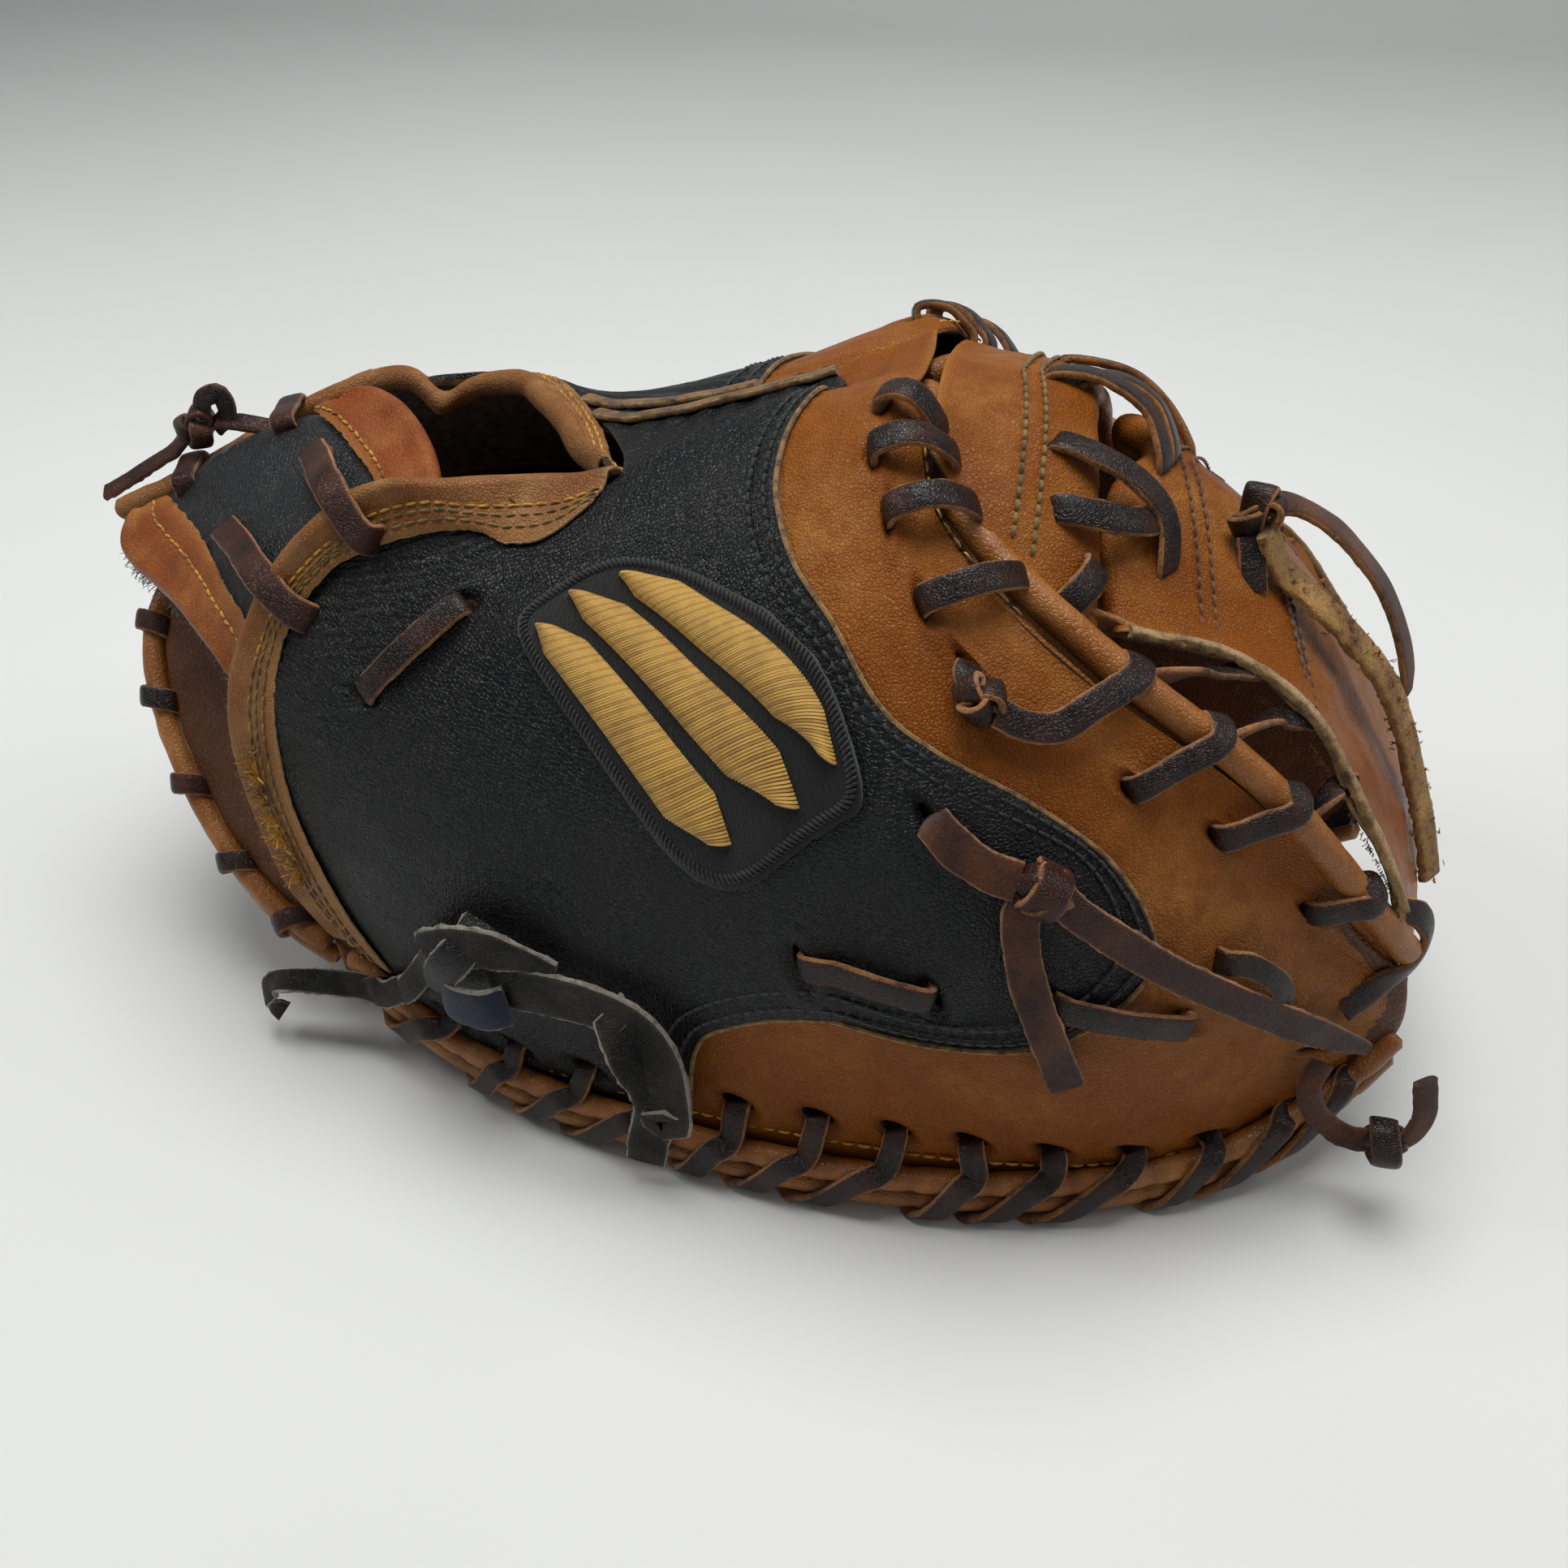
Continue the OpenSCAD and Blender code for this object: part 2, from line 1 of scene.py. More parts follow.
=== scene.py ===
"""Looks of the catcher's mitt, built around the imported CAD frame.

Lengths are in millimetres until a mesh is made. +X runs from the wrist to the web, -Y is the thumb
side and +Z is up. A place on the back is given by u (wrist to thumb tip) and v (top to rim), and a
place on the web by s (crotch to outer end) and t (-1 thumb side to 1 finger side)."""

import math

import bpy
import numpy as np
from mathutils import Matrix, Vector, noise
from mathutils.geometry import delaunay_2d_cdt


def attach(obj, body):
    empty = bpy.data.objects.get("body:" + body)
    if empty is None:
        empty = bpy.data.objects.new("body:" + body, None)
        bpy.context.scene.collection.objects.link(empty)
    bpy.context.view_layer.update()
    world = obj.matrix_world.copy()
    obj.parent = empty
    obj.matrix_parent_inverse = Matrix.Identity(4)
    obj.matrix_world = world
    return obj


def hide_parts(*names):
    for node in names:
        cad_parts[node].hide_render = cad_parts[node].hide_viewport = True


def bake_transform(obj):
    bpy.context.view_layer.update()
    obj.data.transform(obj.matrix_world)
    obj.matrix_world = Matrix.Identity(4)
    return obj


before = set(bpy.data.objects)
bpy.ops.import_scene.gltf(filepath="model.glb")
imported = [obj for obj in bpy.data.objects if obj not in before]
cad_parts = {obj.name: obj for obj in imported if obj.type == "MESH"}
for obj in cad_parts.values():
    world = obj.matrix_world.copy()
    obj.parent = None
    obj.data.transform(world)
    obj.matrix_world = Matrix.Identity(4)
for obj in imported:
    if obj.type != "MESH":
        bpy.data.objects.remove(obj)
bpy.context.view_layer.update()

MM = 0.001
ROLL_R = 2.9            # radius of the rim and heel rolls
EDGE_R = 3.5            # radius of the roll along the web edge
LACE_W = 5.6
LACE_T = 2.0
BACK_END = 0.985        # v where the back leather ends, short of the rim
TIP_END = 0.985         # u where the tan leather ends, short of the thumb tip
PALM_BEND = 40          # half width in mm given for bending at the fold; no piece is bent
CUFF_BEND = 25
SADDLE_BEND = 12
WEB_BEND = {"bend": 16, "middle": -19}
GROUND = 0.15

# ---- Guide lines, the same ones the CAD is built on

WEB_TOP = [(41, -46, 149), (72, -62, 127), (106, -62, 103), (134, -53, 70), (150, -42, 46)]
TOP_THUMB = [(-78, -42, 134), (-56, -36, 137), (-34, -26, 141), (-10, -14, 152), (12, -8, 159),
             (31, -16, 165)] + WEB_TOP
TOP_FINGER = [(-140, -24, 124), (-108, -31, 136), (-74, -31, 140), (-44, -14, 141), (-4, -3, 154),
              (31, -14, 165)] + WEB_TOP
WRIST_THUMB = [(-78, -42, 134), (-104, -44, 116), (-118, -50, 88), (-114, -56, 54), (-96, -58, 22)]
WRIST_FINGER = [(-140, -24, 124), (-148, -40, 108), (-144, -52, 82), (-126, -60, 50),
                (-96, -58, 22)]
RIM_LINE = [(-96, -58, 22), (-72, -68, 12), (-46, -77, 8), (-18, -83, 7), (10, -87, 7),
            (38, -88, 7), (64, -85, 7), (90, -78, 7), (114, -66, 9), (136, -50, 17),
            (150, -40, 30)]
TIP_LINE = [(150, -42, 46), (152, -42, 38), (150, -40, 30)]
HEEL_LINE = [(-158, 0, 92), (-159, -14, 80), (-151, -27, 62), (-136, -39, 42), (-118, -47, 27),
             (-98, -51, 18)]
CREASE_LINE = [(-158, 0, 92), (-125, 0, 96), (-90, 0, 100), (-50, 0, 104), (-10, 0, 118),
               (26, -6, 152), (43, -42, 142), (72, -57, 120), (104, -57, 97), (131, -50, 66),
               (147, -40, 46)]
POCKET_RIM_LINE = [(-98, -51, 18), (-72, -62, 11), (-46, -71, 8), (-18, -77, 7), (10, -81, 7),
                   (38, -82, 7), (64, -79, 7), (90, -72, 8), (112, -61, 10), (133, -47, 19),
                   (147, -38, 32)]
POCKET_BOW = [0, 7, 18, 24, 20, 6, -6, -8, -8, -4, 0]
WEB_CROWN = [(34, -2, 163), (62, 3, 160), (84, 5, 146), (104, 5, 131), (120, 4, 114),
             (134, 2, 96), (147, 0, 74), (155, 0, 48)]
WEB_EDGE = [(36, -34, 157), (56, -50, 138), (76, -46, 124), (98, -39, 117), (115, -41, 108),
            (127, -46, 94), (140, -52, 75), (150, -44, 48)]
BULGE_OUT = 25
BULGE_UP = 27
PROBE = 0.01


def unit(v):
    return v / np.maximum(np.linalg.norm(v, axis=-1, keepdims=True), 1e-9)


def lerp(a, b, t):
    return a + (b - a) * t


def swell(t, power=1.0):
    """A hump from 0 at t = 0 over 1 in the middle to 0 at t = 1."""
    return np.sin(np.pi * np.clip(t, 0, 1)).clip(0) ** power


def bell(x, width):
    return np.exp(-((x / width) ** 2))


def curve(points, t):
    """A smooth curve through evenly spaced points, at each t from 0 to 1."""
    p = np.asarray(points, float)
    if p.ndim == 1:
        return curve(p[:, None], t)[..., 0]
    x = np.clip(np.asarray(t, float), 0, 1) * (len(p) - 1)
    i = np.minimum(x.astype(int), len(p) - 2)
    f = (x - i)[..., None]
    p = np.vstack([2 * p[0] - p[1], p, 2 * p[-1] - p[-2]])
    a, b, c, d = p[i], p[i + 1], p[i + 2], p[i + 3]
    return 0.5 * (2 * b + (c - a) * f + (2 * a - 5 * b + 4 * c - d) * f ** 2
                  + (3 * b - a - 3 * c + d) * f ** 3)


def stretched(top, bottom, start, end, u, v):
    """A surface stretched over four edge curves."""
    top, bottom = np.asarray(top, float), np.asarray(bottom, float)
    uu, vv = u[..., None], v[..., None]
    return (lerp(curve(top, u), curve(bottom, u), vv) + lerp(curve(start, v), curve(end, v), uu)
            - lerp(lerp(top[0], top[-1], uu), lerp(bottom[0], bottom[-1], uu), vv))


def grids(u, v):
    return np.broadcast_arrays(np.asarray(u, float), np.asarray(v, float))


def surface_normal(surface, u, v):
    a = surface(np.minimum(u + PROBE, 1), v) - surface(np.maximum(u - PROBE, 0), v)
    b = surface(u, np.minimum(v + PROBE, 1)) - surface(u, np.maximum(v - PROBE, 0))
    return unit(np.cross(b, a))


class Side:
    """One half of the mitt. The finger half is built like the thumb half and then mirrored."""

    def __init__(self, name, top, wrist, sign):
        self.name, self.body, self.top, self.wrist = name, name + "_side", top, wrist
        self.flip = np.array([1.0, sign, 1.0])

    def raw_outer(self, u, v):
        high = (curve(self.top, u)[..., 2] - curve(RIM_LINE, u)[..., 2]) / 152
        g = swell(u, 0.6) * np.minimum(1.2, high)
        p = stretched(self.top, RIM_LINE, self.wrist, TIP_LINE, u, v)
        p[..., 1] -= BULGE_OUT * g * swell(v.clip(0) ** 1.3)
        p[..., 2] += BULGE_UP * g * high * swell(v.clip(0) ** 0.8)
        return p

    def raw_inner(self, u, v):
        g = curve(POCKET_BOW, u) * swell(v.clip(0) ** 0.9)
        p = stretched(CREASE_LINE, POCKET_RIM_LINE, HEEL_LINE, TIP_LINE, u, v)
        p[..., 1] -= 0.8 * g
        p[..., 2] += g
        return p

    def fade(self, u, v):
        return np.minimum(1, np.linalg.norm(self.raw_outer(u, v) - self.raw_inner(u, v), axis=-1) / 20)

    def skin(self, u, v, out=0.0):
        """A point this far outside the back leather."""
        u, v = grids(u, v)
        out = np.where(np.asarray(out) < 0, out * self.fade(u, v), out)
        return (self.raw_outer(u, v) + surface_normal(self.raw_outer, u, v) * out[..., None]) * self.flip

    def normal(self, u, v):
        u, v = grids(u, v)
        return surface_normal(self.raw_outer, u, v) * self.flip

    def lining(self, u, v, up=0.0):
        """A point this far above the face of the pocket."""
        u, v = grids(u, v)
        up = np.asarray(up) * self.fade(u, v)
        return (self.raw_inner(u, v) + surface_normal(self.raw_inner, u, v) * up[..., None]) * self.flip

    def core(self, u, v, k):
        """A point between the palm leather at k = 0 and the back leather at k = 1."""
        return lerp(self.lining(u, v, 3.1), self.skin(u, v, -5.2), np.asarray(k)[..., None])

    def rim(self, u):
        return curve(RIM_LINE, u) * self.flip

    def rim_out(self, u):
        run = curve(RIM_LINE, np.minimum(u + PROBE, 1)) - curve(RIM_LINE, np.maximum(u - PROBE, 0))
        return unit(np.cross(run, [0.0, 0.0, 1.0])) * self.flip

    def web_edge_out(self, u):
        u, v = grids(u, 0.0)
        return unit(self.raw_outer(u, v) - self.raw_outer(u, v + 0.05)) * self.flip

    def web_roll_mid(self, u):
        edge = lerp(self.skin(u, 0.0), self.lining(u, 0.0), 0.5)
        return edge + self.web_edge_out(u) * (EDGE_R + 1.7) + self.normal(u, 0.0) * 0.9


THUMB = Side("thumb", TOP_THUMB, WRIST_THUMB, 1)
FINGER = Side("finger", TOP_FINGER, WRIST_FINGER, -1)


def web(s, t, out=0.0):
    """A point this far above the web."""
    s, t = grids(s, t)

    def flat(s, t):
        c, n = curve(WEB_CROWN, s), curve(WEB_EDGE, s)
        n = np.where(t[..., None] < 0, n, n * [1, -1, 1])
        d, a = n - c, np.abs(t)[..., None]
        return c + d * np.concatenate([a ** 1.5, a, a * a], axis=-1)

    u = unit(np.cross(flat(np.minimum(s + PROBE, 1), t) - flat(np.maximum(s - PROBE, 0), t),
                      flat(s, np.minimum(t + PROBE, 1)) - flat(s, np.maximum(t - PROBE, -1))))
    return flat(s, t) + u * np.asarray(out)[..., None]


def web_up(s, t):
    return unit(web(s, t, 1.0) - web(s, t))


def heel(s):
    """The edge around the heel: s is -1 at one end, 0 at the wrist and 1 at the other end."""
    p = curve(HEEL_LINE, np.abs(s))
    return np.where(np.asarray(s)[..., None] < 0, p, p * [1, -1, 1])


def heel_out(s):
    p = heel(s) + [60, 0, 0]
    p[..., 2] = 0
    return unit(p)


def rough(points, size, seed=0.0):
    """A smooth random value from -1 to 1 at each point, with lumps of the given size."""
    q = np.asarray(points, float).reshape(-1, 3) / size + seed
    return np.array([noise.noise(Vector(p)) for p in q]).reshape(np.shape(points)[:-1])


# ---- Materials

class Shader:
    """A material under construction: object coordinates in millimetres and small node helpers."""

    def __init__(self, name):
        self.mat = bpy.data.materials.new(name)
        self.mat.use_nodes = True
        self.tree = self.mat.node_tree
        coords = self.node("TexCoord", {}).outputs["Object"]
        self.place = self.node("VectorMath", {0: coords, "Scale": 1 / MM}, operation="SCALE").outputs[0]
        tone = self.node("Attribute", {}, attribute_name="tone").outputs["Color"]
        # tone channels: worn edges, rubbed wear, and darkening that is real dirt in some pieces and painted
        # shade in others
        self.edge, self.wear, self.dirt_and_shade = self.node("SeparateColor", {0: tone}).outputs

    def put(self, node, inputs):
        """Gives a node its inputs, each a value or another node's output."""
        for key, value in inputs.items():
            if isinstance(value, (int, float, tuple)):
                node.inputs[key].default_value = value
            else:
                self.tree.links.new(value, node.inputs[key])

    def node(self, kind, inputs, **settings):
        node = self.tree.nodes.new("ShaderNode" + kind)
        for key, value in settings.items():
            setattr(node, key, value)
        self.put(node, inputs)
        return node

    def noise(self, size, detail=3.0, rough=0.55, stretch=None, distort=0.0):
        place = self.place
        if stretch:
            place = self.node("VectorMath", {0: place, 1: stretch}, operation="MULTIPLY").outputs[0]
        return self.node("TexNoise", {"Vector": place, "Scale": 1 / size, "Detail": detail,
                                      "Roughness": rough, "Distortion": distort}).outputs["Fac"]

    def cells(self, size, wobble=0.35):
        """The distance to the border of the nearest pebble, with wavy borders."""
        wave = self.node("TexNoise", {"Vector": self.place, "Scale": 0.7 / size}).outputs["Color"]
        place = self.node("VectorMath", {0: wave, 1: (size * wobble,) * 3, 2: self.place},
                          operation="MULTIPLY_ADD").outputs[0]
        return self.node("TexVoronoi", {"Vector": place, "Scale": 1 / size, "Randomness": 1.0},
                         feature="DISTANCE_TO_EDGE").outputs["Distance"]

    def ramp(self, value, low, high, to_low=0.0, to_high=1.0):
        inputs = {"Value": value, "From Min": low, "From Max": high, "To Min": to_low, "To Max": to_high}
        return self.node("MapRange", inputs, interpolation_type="SMOOTHSTEP").outputs["Result"]

    def add(self, a, b):
        return self.node("Math", {0: a, 1: b}, operation="ADD").outputs[0]

    def times(self, a, b):
        return self.node("Math", {0: a, 1: b}, operation="MULTIPLY").outputs[0]

    def mix(self, a, b, share=1.0):
        """Colour a with a share of colour b over it."""
        a, b = [rgb(x) if isinstance(x, str) else x for x in (a, b)]
        return self.node("Mix", {"Factor": share, "A": a, "B": b}, data_type="RGBA").outputs["Result"]

    def finish(self, colour, roughness, height, depth, strength=1.0, specular=0.5, sheen=0.0):
        bump = self.node("Bump", {"Distance": depth * MM, "Strength": strength, "Height": height})
        self.put(self.tree.nodes["Principled BSDF"],
                 {"Normal": bump.outputs[0], "Base Color": colour, "Roughness": roughness,
                  "Specular IOR Level": specular, "Sheen Weight": sheen})
        return self.mat


def rgb(code):
    """A colour from its usual hex code, as linear light."""
    c = [int(code[i:i + 2], 16) / 255 for i in (0, 2, 4)]
    return tuple(x / 12.92 if x <= 0.04045 else ((x + 0.055) / 1.055) ** 2.4 for x in c) + (1.0,)


def leather(name, base, dark, light, grain=1.0, depth=0.22, rough=(0.38, 0.6), worn=None, specular=0.3,
            mottled=0.35):
    """Grained leather: pebbles, fine pores, creases, mottled dye, worn places, and darkened places, some
    real dirt and some painted shade.
    """
    s = Shader(name)
    worn = worn or light
    pebbles, pores, creases = s.cells(grain), s.noise(0.35, 2.0), s.cells(4.2, wobble=0.9)
    patch, mottle = s.noise(26, 3.0, 0.5, distort=0.4), s.noise(5.0, 5.0, 0.6)
    colour = s.mix(base, dark, s.ramp(patch, 0.38, 0.75, 0, mottled))
    colour = s.mix(colour, light, s.ramp(mottle, 0.4, 0.9, 0, mottled))
    colour = s.mix(colour, dark, s.times(s.ramp(pebbles, 0.0, 0.14, 1, 0), 0.5))
    rub = s.times(s.wear, s.ramp(s.noise(6.0, 6.0, 0.68), 0.25, 0.75))
    colour = s.mix(colour, worn, s.times(rub, 0.75))
    # darkened by the third tone channel: real dirt, and painted shade around lace holes and under the rim
    # laces
    colour = s.mix(colour, dark, s.times(s.dirt_and_shade, s.ramp(s.noise(3, 3.0), 0.2, 0.6, 0.5, 1)))
    colour = s.mix(colour, worn, s.times(s.edge, 0.6))
    height = s.add(s.ramp(pebbles, 0.0, 0.22), s.times(pores, 0.35))
    height = s.add(height, s.times(s.ramp(creases, 0.0, 0.08), 0.5))
    gloss = s.add(s.ramp(s.noise(9, 4.0, 0.6), 0.3, 0.7, *rough), s.times(rub, 0.12))
    return s.finish(colour, gloss, height, depth, specular=specular)


def suede(name, base, dark, light, size=0.5, depth=0.35):
    """The rough flesh side of leather: short felted fibres and no shine."""
    s = Shader(name)
    fibres = s.noise(size, 6.0, 0.75, distort=1.2)
    colour = s.mix(base, dark, s.ramp(s.noise(2.4, 4.0, 0.6), 0.42, 0.62))
    colour = s.mix(colour, light, s.ramp(fibres, 0.52, 0.72, 0, 0.9))
    colour = s.mix(colour, light, s.times(s.wear, s.ramp(fibres, 0.35, 0.6)))
    colour = s.mix(colour, dark, s.dirt_and_shade)
    return s.finish(colour, 0.95, fibres, depth, specular=0.15, sheen=0.25)


def thread(name, base, dark, size=0.28, soil=1.0):
    """Twisted sewing thread, soiled in its lay."""
    s = Shader(name)
    lay = s.noise(size, 3.0, 0.6)
    colour = s.mix(base, dark, s.ramp(s.noise(7, 3.0, 0.6), 0.4, 0.68, 0, soil))
    colour = s.mix(colour, dark, s.ramp(lay, 0.55, 0.8, 0, 0.6))
    return s.finish(colour, s.ramp(lay, 0.3, 0.7, 0.42, 0.65), lay, 0.12, specular=0.4, sheen=0.2)


def felt(name, base, dark, light, size=0.45):
    """Woven felt with a short nap."""
    s = Shader(name)
    nap = s.noise(size, 5.0, 0.7, distort=0.8)
    cross = s.noise(size * 1.6, 2.0, 0.5, stretch=(3.0, 0.5, 0.5))
    colour = s.mix(base, dark, s.ramp(nap, 0.35, 0.6))
    colour = s.mix(colour, light, s.ramp(cross, 0.58, 0.75, 0, 0.6))
    return s.finish(colour, 0.92, s.add(nap, s.times(cross, 0.6)), 0.3, specular=0.2, sheen=0.3)


def studio(name, colour):
    """The plain matt paper of the backdrop."""
    s = Shader(name)
    tint = s.mix(colour, "ffffff", s.ramp(s.noise(300, 2.0), 0.3, 0.7, 0, 0.06))
    return s.finish(tint, 0.75, s.noise(0.8, 3.0), 0.05, strength=0.3, specular=0.2)


MAT = {
    "black": leather("black_leather", "090a0d", "040506", "131518", 0.95, 0.14, (0.3, 0.46), "2a2825"),
    "worn_black": leather("worn_black_leather", "101112", "070808", "2c2a27", 0.8, 0.2, (0.34, 0.52),
                          "4c463d", specular=0.16, mottled=0.9),
    # lighter grey than the black leather: partly wear, partly a painted sheen from the top light on the
    # upward strap
    "strap": leather("strap_leather", "16171a", "0b0c0d", "28292b", 0.9, 0.14, (0.32, 0.46), "3c3a37",
                     specular=0.42),
    "tan": leather("tan_leather", "834509", "5f2f05", "a5631c", 0.9, 0.12, (0.3, 0.44), "b37c3c",
                   specular=0.16),
    "roll": leather("edge_leather", "8c5018", "623310", "ad7234", 1.0, 0.08, (0.24, 0.38), "b98446",
                    specular=0.4),
    "palm": leather("palm_leather", "6f3813", "42200b", "8a5022", 1.3, 0.16, (0.36, 0.55), "8f5a2c"),
    "binding": leather("binding_leather", "85501f", "583316", "9c6a36", 0.8, 0.14, (0.42, 0.6), "a67c4c"),
    "lobe": leather("lobe_leather", "853f10", "5c2a0b", "9c5a22", 1.1, 0.1, (0.26, 0.42), "a06a30",
                    specular=0.26),
    "lace": leather("lace_grain", "100a0a", "070405", "28170f", 0.6, 0.08, (0.2, 0.34), "4a2613",
                    specular=0.34),
    "lace_red": leather("lace_red_grain", "2a0f09", "140705", "431c10", 0.6, 0.1, (0.24, 0.4), "5a301a"),
    "liner": leather("liner_leather", "54301a", "2c180c", "70452a", 1.4, 0.16),
    "lace_raw": suede("lace_suede", "3b1c10", "1d0d07", "74421f"),
    "lace_edge": suede("lace_edge_suede", "7c4a20", "3c200f", "bd8244"),
    "golden": suede("golden_suede", "97682a", "5e3a16", "d6a65c", depth=0.5),
    "raw": suede("raw_edge", "94703c", "5a3c1e", "c9a878"),
    "back": suede("leather_back", "2a1a10", "180d07", "43301d"),
    "black_raw": suede("black_raw_edge", "6e4d2c", "33231a", "94703f"),
    "navy": suede("navy_suede", "11182c", "080b15", "232e4e"),
    "grey": suede("grey_fray", "857d70", "4a4238", "b3aa98", depth=0.5),
    "fleece": felt("fleece", "80877d", "525a52", "b5baaf", 0.8),
    "pad": felt("pad_felt", "9a8c72", "6f624c", "bbae90"),
    "felt": felt("patch_felt", "0b0b0b", "050505", "1a1917"),
    "thread_black": thread("black_thread", "17181b", "060606"),
    "thread_gold": thread("yellow_thread", "c08c1c", "5f3e14"),
    "thread_olive": thread("olive_thread", "7a6428", "403214"),
    "thread_brown": thread("brown_thread", "6b3d19", "38200f"),
    "satin": thread("gold_satin", "c89d48", "7d571f", 0.3, soil=0.3),
    # a darker copy of the gold satin: painted shade on some strands of the bars
    "satin_shade": thread("gold_satin_shade", "b0853a", "6b4b1c", 0.3, soil=0.4),
}


# ---- Meshes

SHARP = math.radians(50)


class Build:
    """Collects the faces of one piece, each with a material number and each point with a tone."""

    def __init__(self, *materials):
        self.materials = materials
        self.points, self.faces, self.numbers, self.tones = [], [], [], []
        self.count = 0

    def add(self, points, faces, number=0, tone=None):
        points = np.asarray(points, float).reshape(-1, 3)
        faces = np.asarray(faces)
        self.points.append(points)
        self.faces.extend((faces + self.count).tolist())
        self.numbers.append(np.broadcast_to(number, len(faces)))
        self.tones.append(np.zeros((len(points), 3)) if tone is None else tone)
        self.count += len(points)

    def finish(self, name, body=None, node=None, bend=None, middle=0):
        """Makes the piece, in place of a CAD node if one is given, and hangs it on its body; given a bend,
        it only bakes the piece's transform in place and bends nothing. The size in bend and middle are not
        used."""
        mesh = bpy.data.meshes.new(name)
        points = np.vstack(self.points)
        points[:, 2] = np.maximum(points[:, 2], GROUND)     # soft leather lies flat where it rests
        mesh.from_pydata((points * MM).tolist(), [], self.faces)
        for key in self.materials:
            mesh.materials.append(MAT[key])
        mesh.polygons.foreach_set("material_index", np.concatenate(self.numbers).astype(np.int32))
        mesh.polygons.foreach_set("use_smooth", np.ones(len(self.faces), bool))
        tone = np.ones((self.count, 4), np.float32)
        tone[:, :3] = np.clip(np.vstack(self.tones), 0, 1)
        mesh.attributes.new("tone", "FLOAT_COLOR", "POINT").data.foreach_set("color", tone.ravel())
        mesh.set_sharp_from_angle(angle=SHARP)
        mesh.update()
        piece = bpy.data.objects.new(name, mesh)
        bpy.context.scene.collection.objects.link(piece)
        if bend is None:
            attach(piece, body)
        else:
            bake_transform(piece)
        if node:
            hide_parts(node)


def grid_faces(n, m, wrap=False):
    """Quads of an n by m grid of points, closed along m if wrap is true."""
    i, j = np.meshgrid(np.arange(n - 1), np.arange(m if wrap else m - 1), indexing="ij")
    k = (j + 1) % m
    return np.stack([i * m + j, (i + 1) * m + j, (i + 1) * m + k, i * m + k], -1).reshape(-1, 4)


def grid_normals(p):
    a, b = np.gradient(p, axis=0), np.gradient(p, axis=1)
    return unit(np.cross(a, b))


def sheet(build, high, low, flip, outside=0, inside=0, tones=None):
    """Two facing grids of points, closed by a wall around their edges."""
    n, m = high.shape[:2]
    size = n * m
    ids = np.arange(size).reshape(n, m)
    loop = np.concatenate([ids[:, 0], ids[-1, 1:], ids[-2::-1, -1], ids[0, -2:0:-1]])
    after = np.roll(loop, -1)
    faces, walls = grid_faces(n, m), np.stack([loop, loop + size, after + size, after], -1)
    if flip:
        faces, walls = faces[:, ::-1], walls[:, ::-1]
    build.add(np.vstack([high.reshape(-1, 3), low.reshape(-1, 3)]),
              np.vstack([faces, faces[:, ::-1] + size, walls]),
              np.repeat([outside, inside], [len(faces), len(faces) + len(walls)]), tones)


def shell(build, p, thick, relief=0.0, outside=0, inside=1, tone=None, flip=False):
    """A sheet of leather from its outer grid of points, with raw edges all around."""
    n, m = p.shape[:2]
    up = grid_normals(p) * (-1 if flip else 1)
    relief = np.broadcast_to(relief, (n, m))[..., None]
    i = np.minimum(np.arange(n), np.arange(n)[::-1])[:, None]
    j = np.minimum(np.arange(m), np.arange(m)[::-1])[None, :]
    from_edge = np.minimum(i, j)
    round_off = np.where(from_edge == 0, 0.3 * thick, 0)[..., None]
    high = p + up * (relief - round_off)
    low = p + up * (np.minimum(relief, 0.4) - thick + round_off)
    tones = np.zeros((n, m, 3))
    tones[..., 0] = np.exp(-from_edge / 1.0)
    if tone is not None:
        tones[..., 1:] = tone
    sheet(build, high, low, flip, outside, inside, np.vstack([tones.reshape(-1, 3)] * 2))


def even_path(points, step):
    """Parameters that place points at even steps along the smooth curve through the given ones."""
    t = np.linspace(0, 1, 40 * len(points))
    run = np.concatenate([[0], np.cumsum(np.linalg.norm(np.diff(curve(points, t), axis=0), axis=1))])
    count = max(4, int(run[-1] / step))
    return np.interp(np.linspace(0, run[-1], count + 1), run, t), run[-1]


def spokes(side, up, count):
    """Unit arms all around each point of a path."""
    a = np.linspace(0, 2 * np.pi, count, endpoint=False)
    return side[:, None] * np.cos(a)[None, :, None] + up[:, None] * np.sin(a)[None, :, None]


def close_ends(build, rings, p, number):
    """A fan of triangles over each end of a tube."""
    count = rings.shape[1]
    for k, order in ((0, 1), (-1, -1)):
        fan = [[j, (j + 1) % count, count][::order] for j in range(count)]
        build.add(np.vstack([rings[k], p[k]]), fan, number)


def tube(build, points, r, sides=14, squeeze=None, lumps=0.12):
    """A piped roll along a curve. squeeze is a function of position that narrows it."""
    t, _ = even_path(points, 1.2)
    p = curve(points, t)
    run = unit(np.gradient(p, axis=0))
    side = unit(np.cross(run, [0.03, 0.05, 1.0]))
    arm = spokes(side, np.cross(side, run), sides)
    narrow = squeeze(t) if squeeze else np.zeros(len(t))
    radius = (r(t) if callable(r) else r) - narrow
    radius[[0, -1]] *= 0.6
    rings = p[:, None] + arm * radius[:, None, None]
    rings += arm * (rough(rings, 6.0, 3.1) * lumps)[..., None]
    tone = np.zeros(rings.shape)
    tone[..., 1] = 0.5 + 0.8 * rough(rings, 14.0, 9.0)
    # painted shade: the roll darkens where the laces pinch it, in the tone's third channel
    tone[..., 2] = (narrow * 1.4)[:, None]
    build.add(rings, grid_faces(len(p), sides, wrap=True)[:, ::-1], 0, tone.reshape(-1, 3))
    close_ends(build, rings, p, 0)


SECTION = 16            # points around a lace


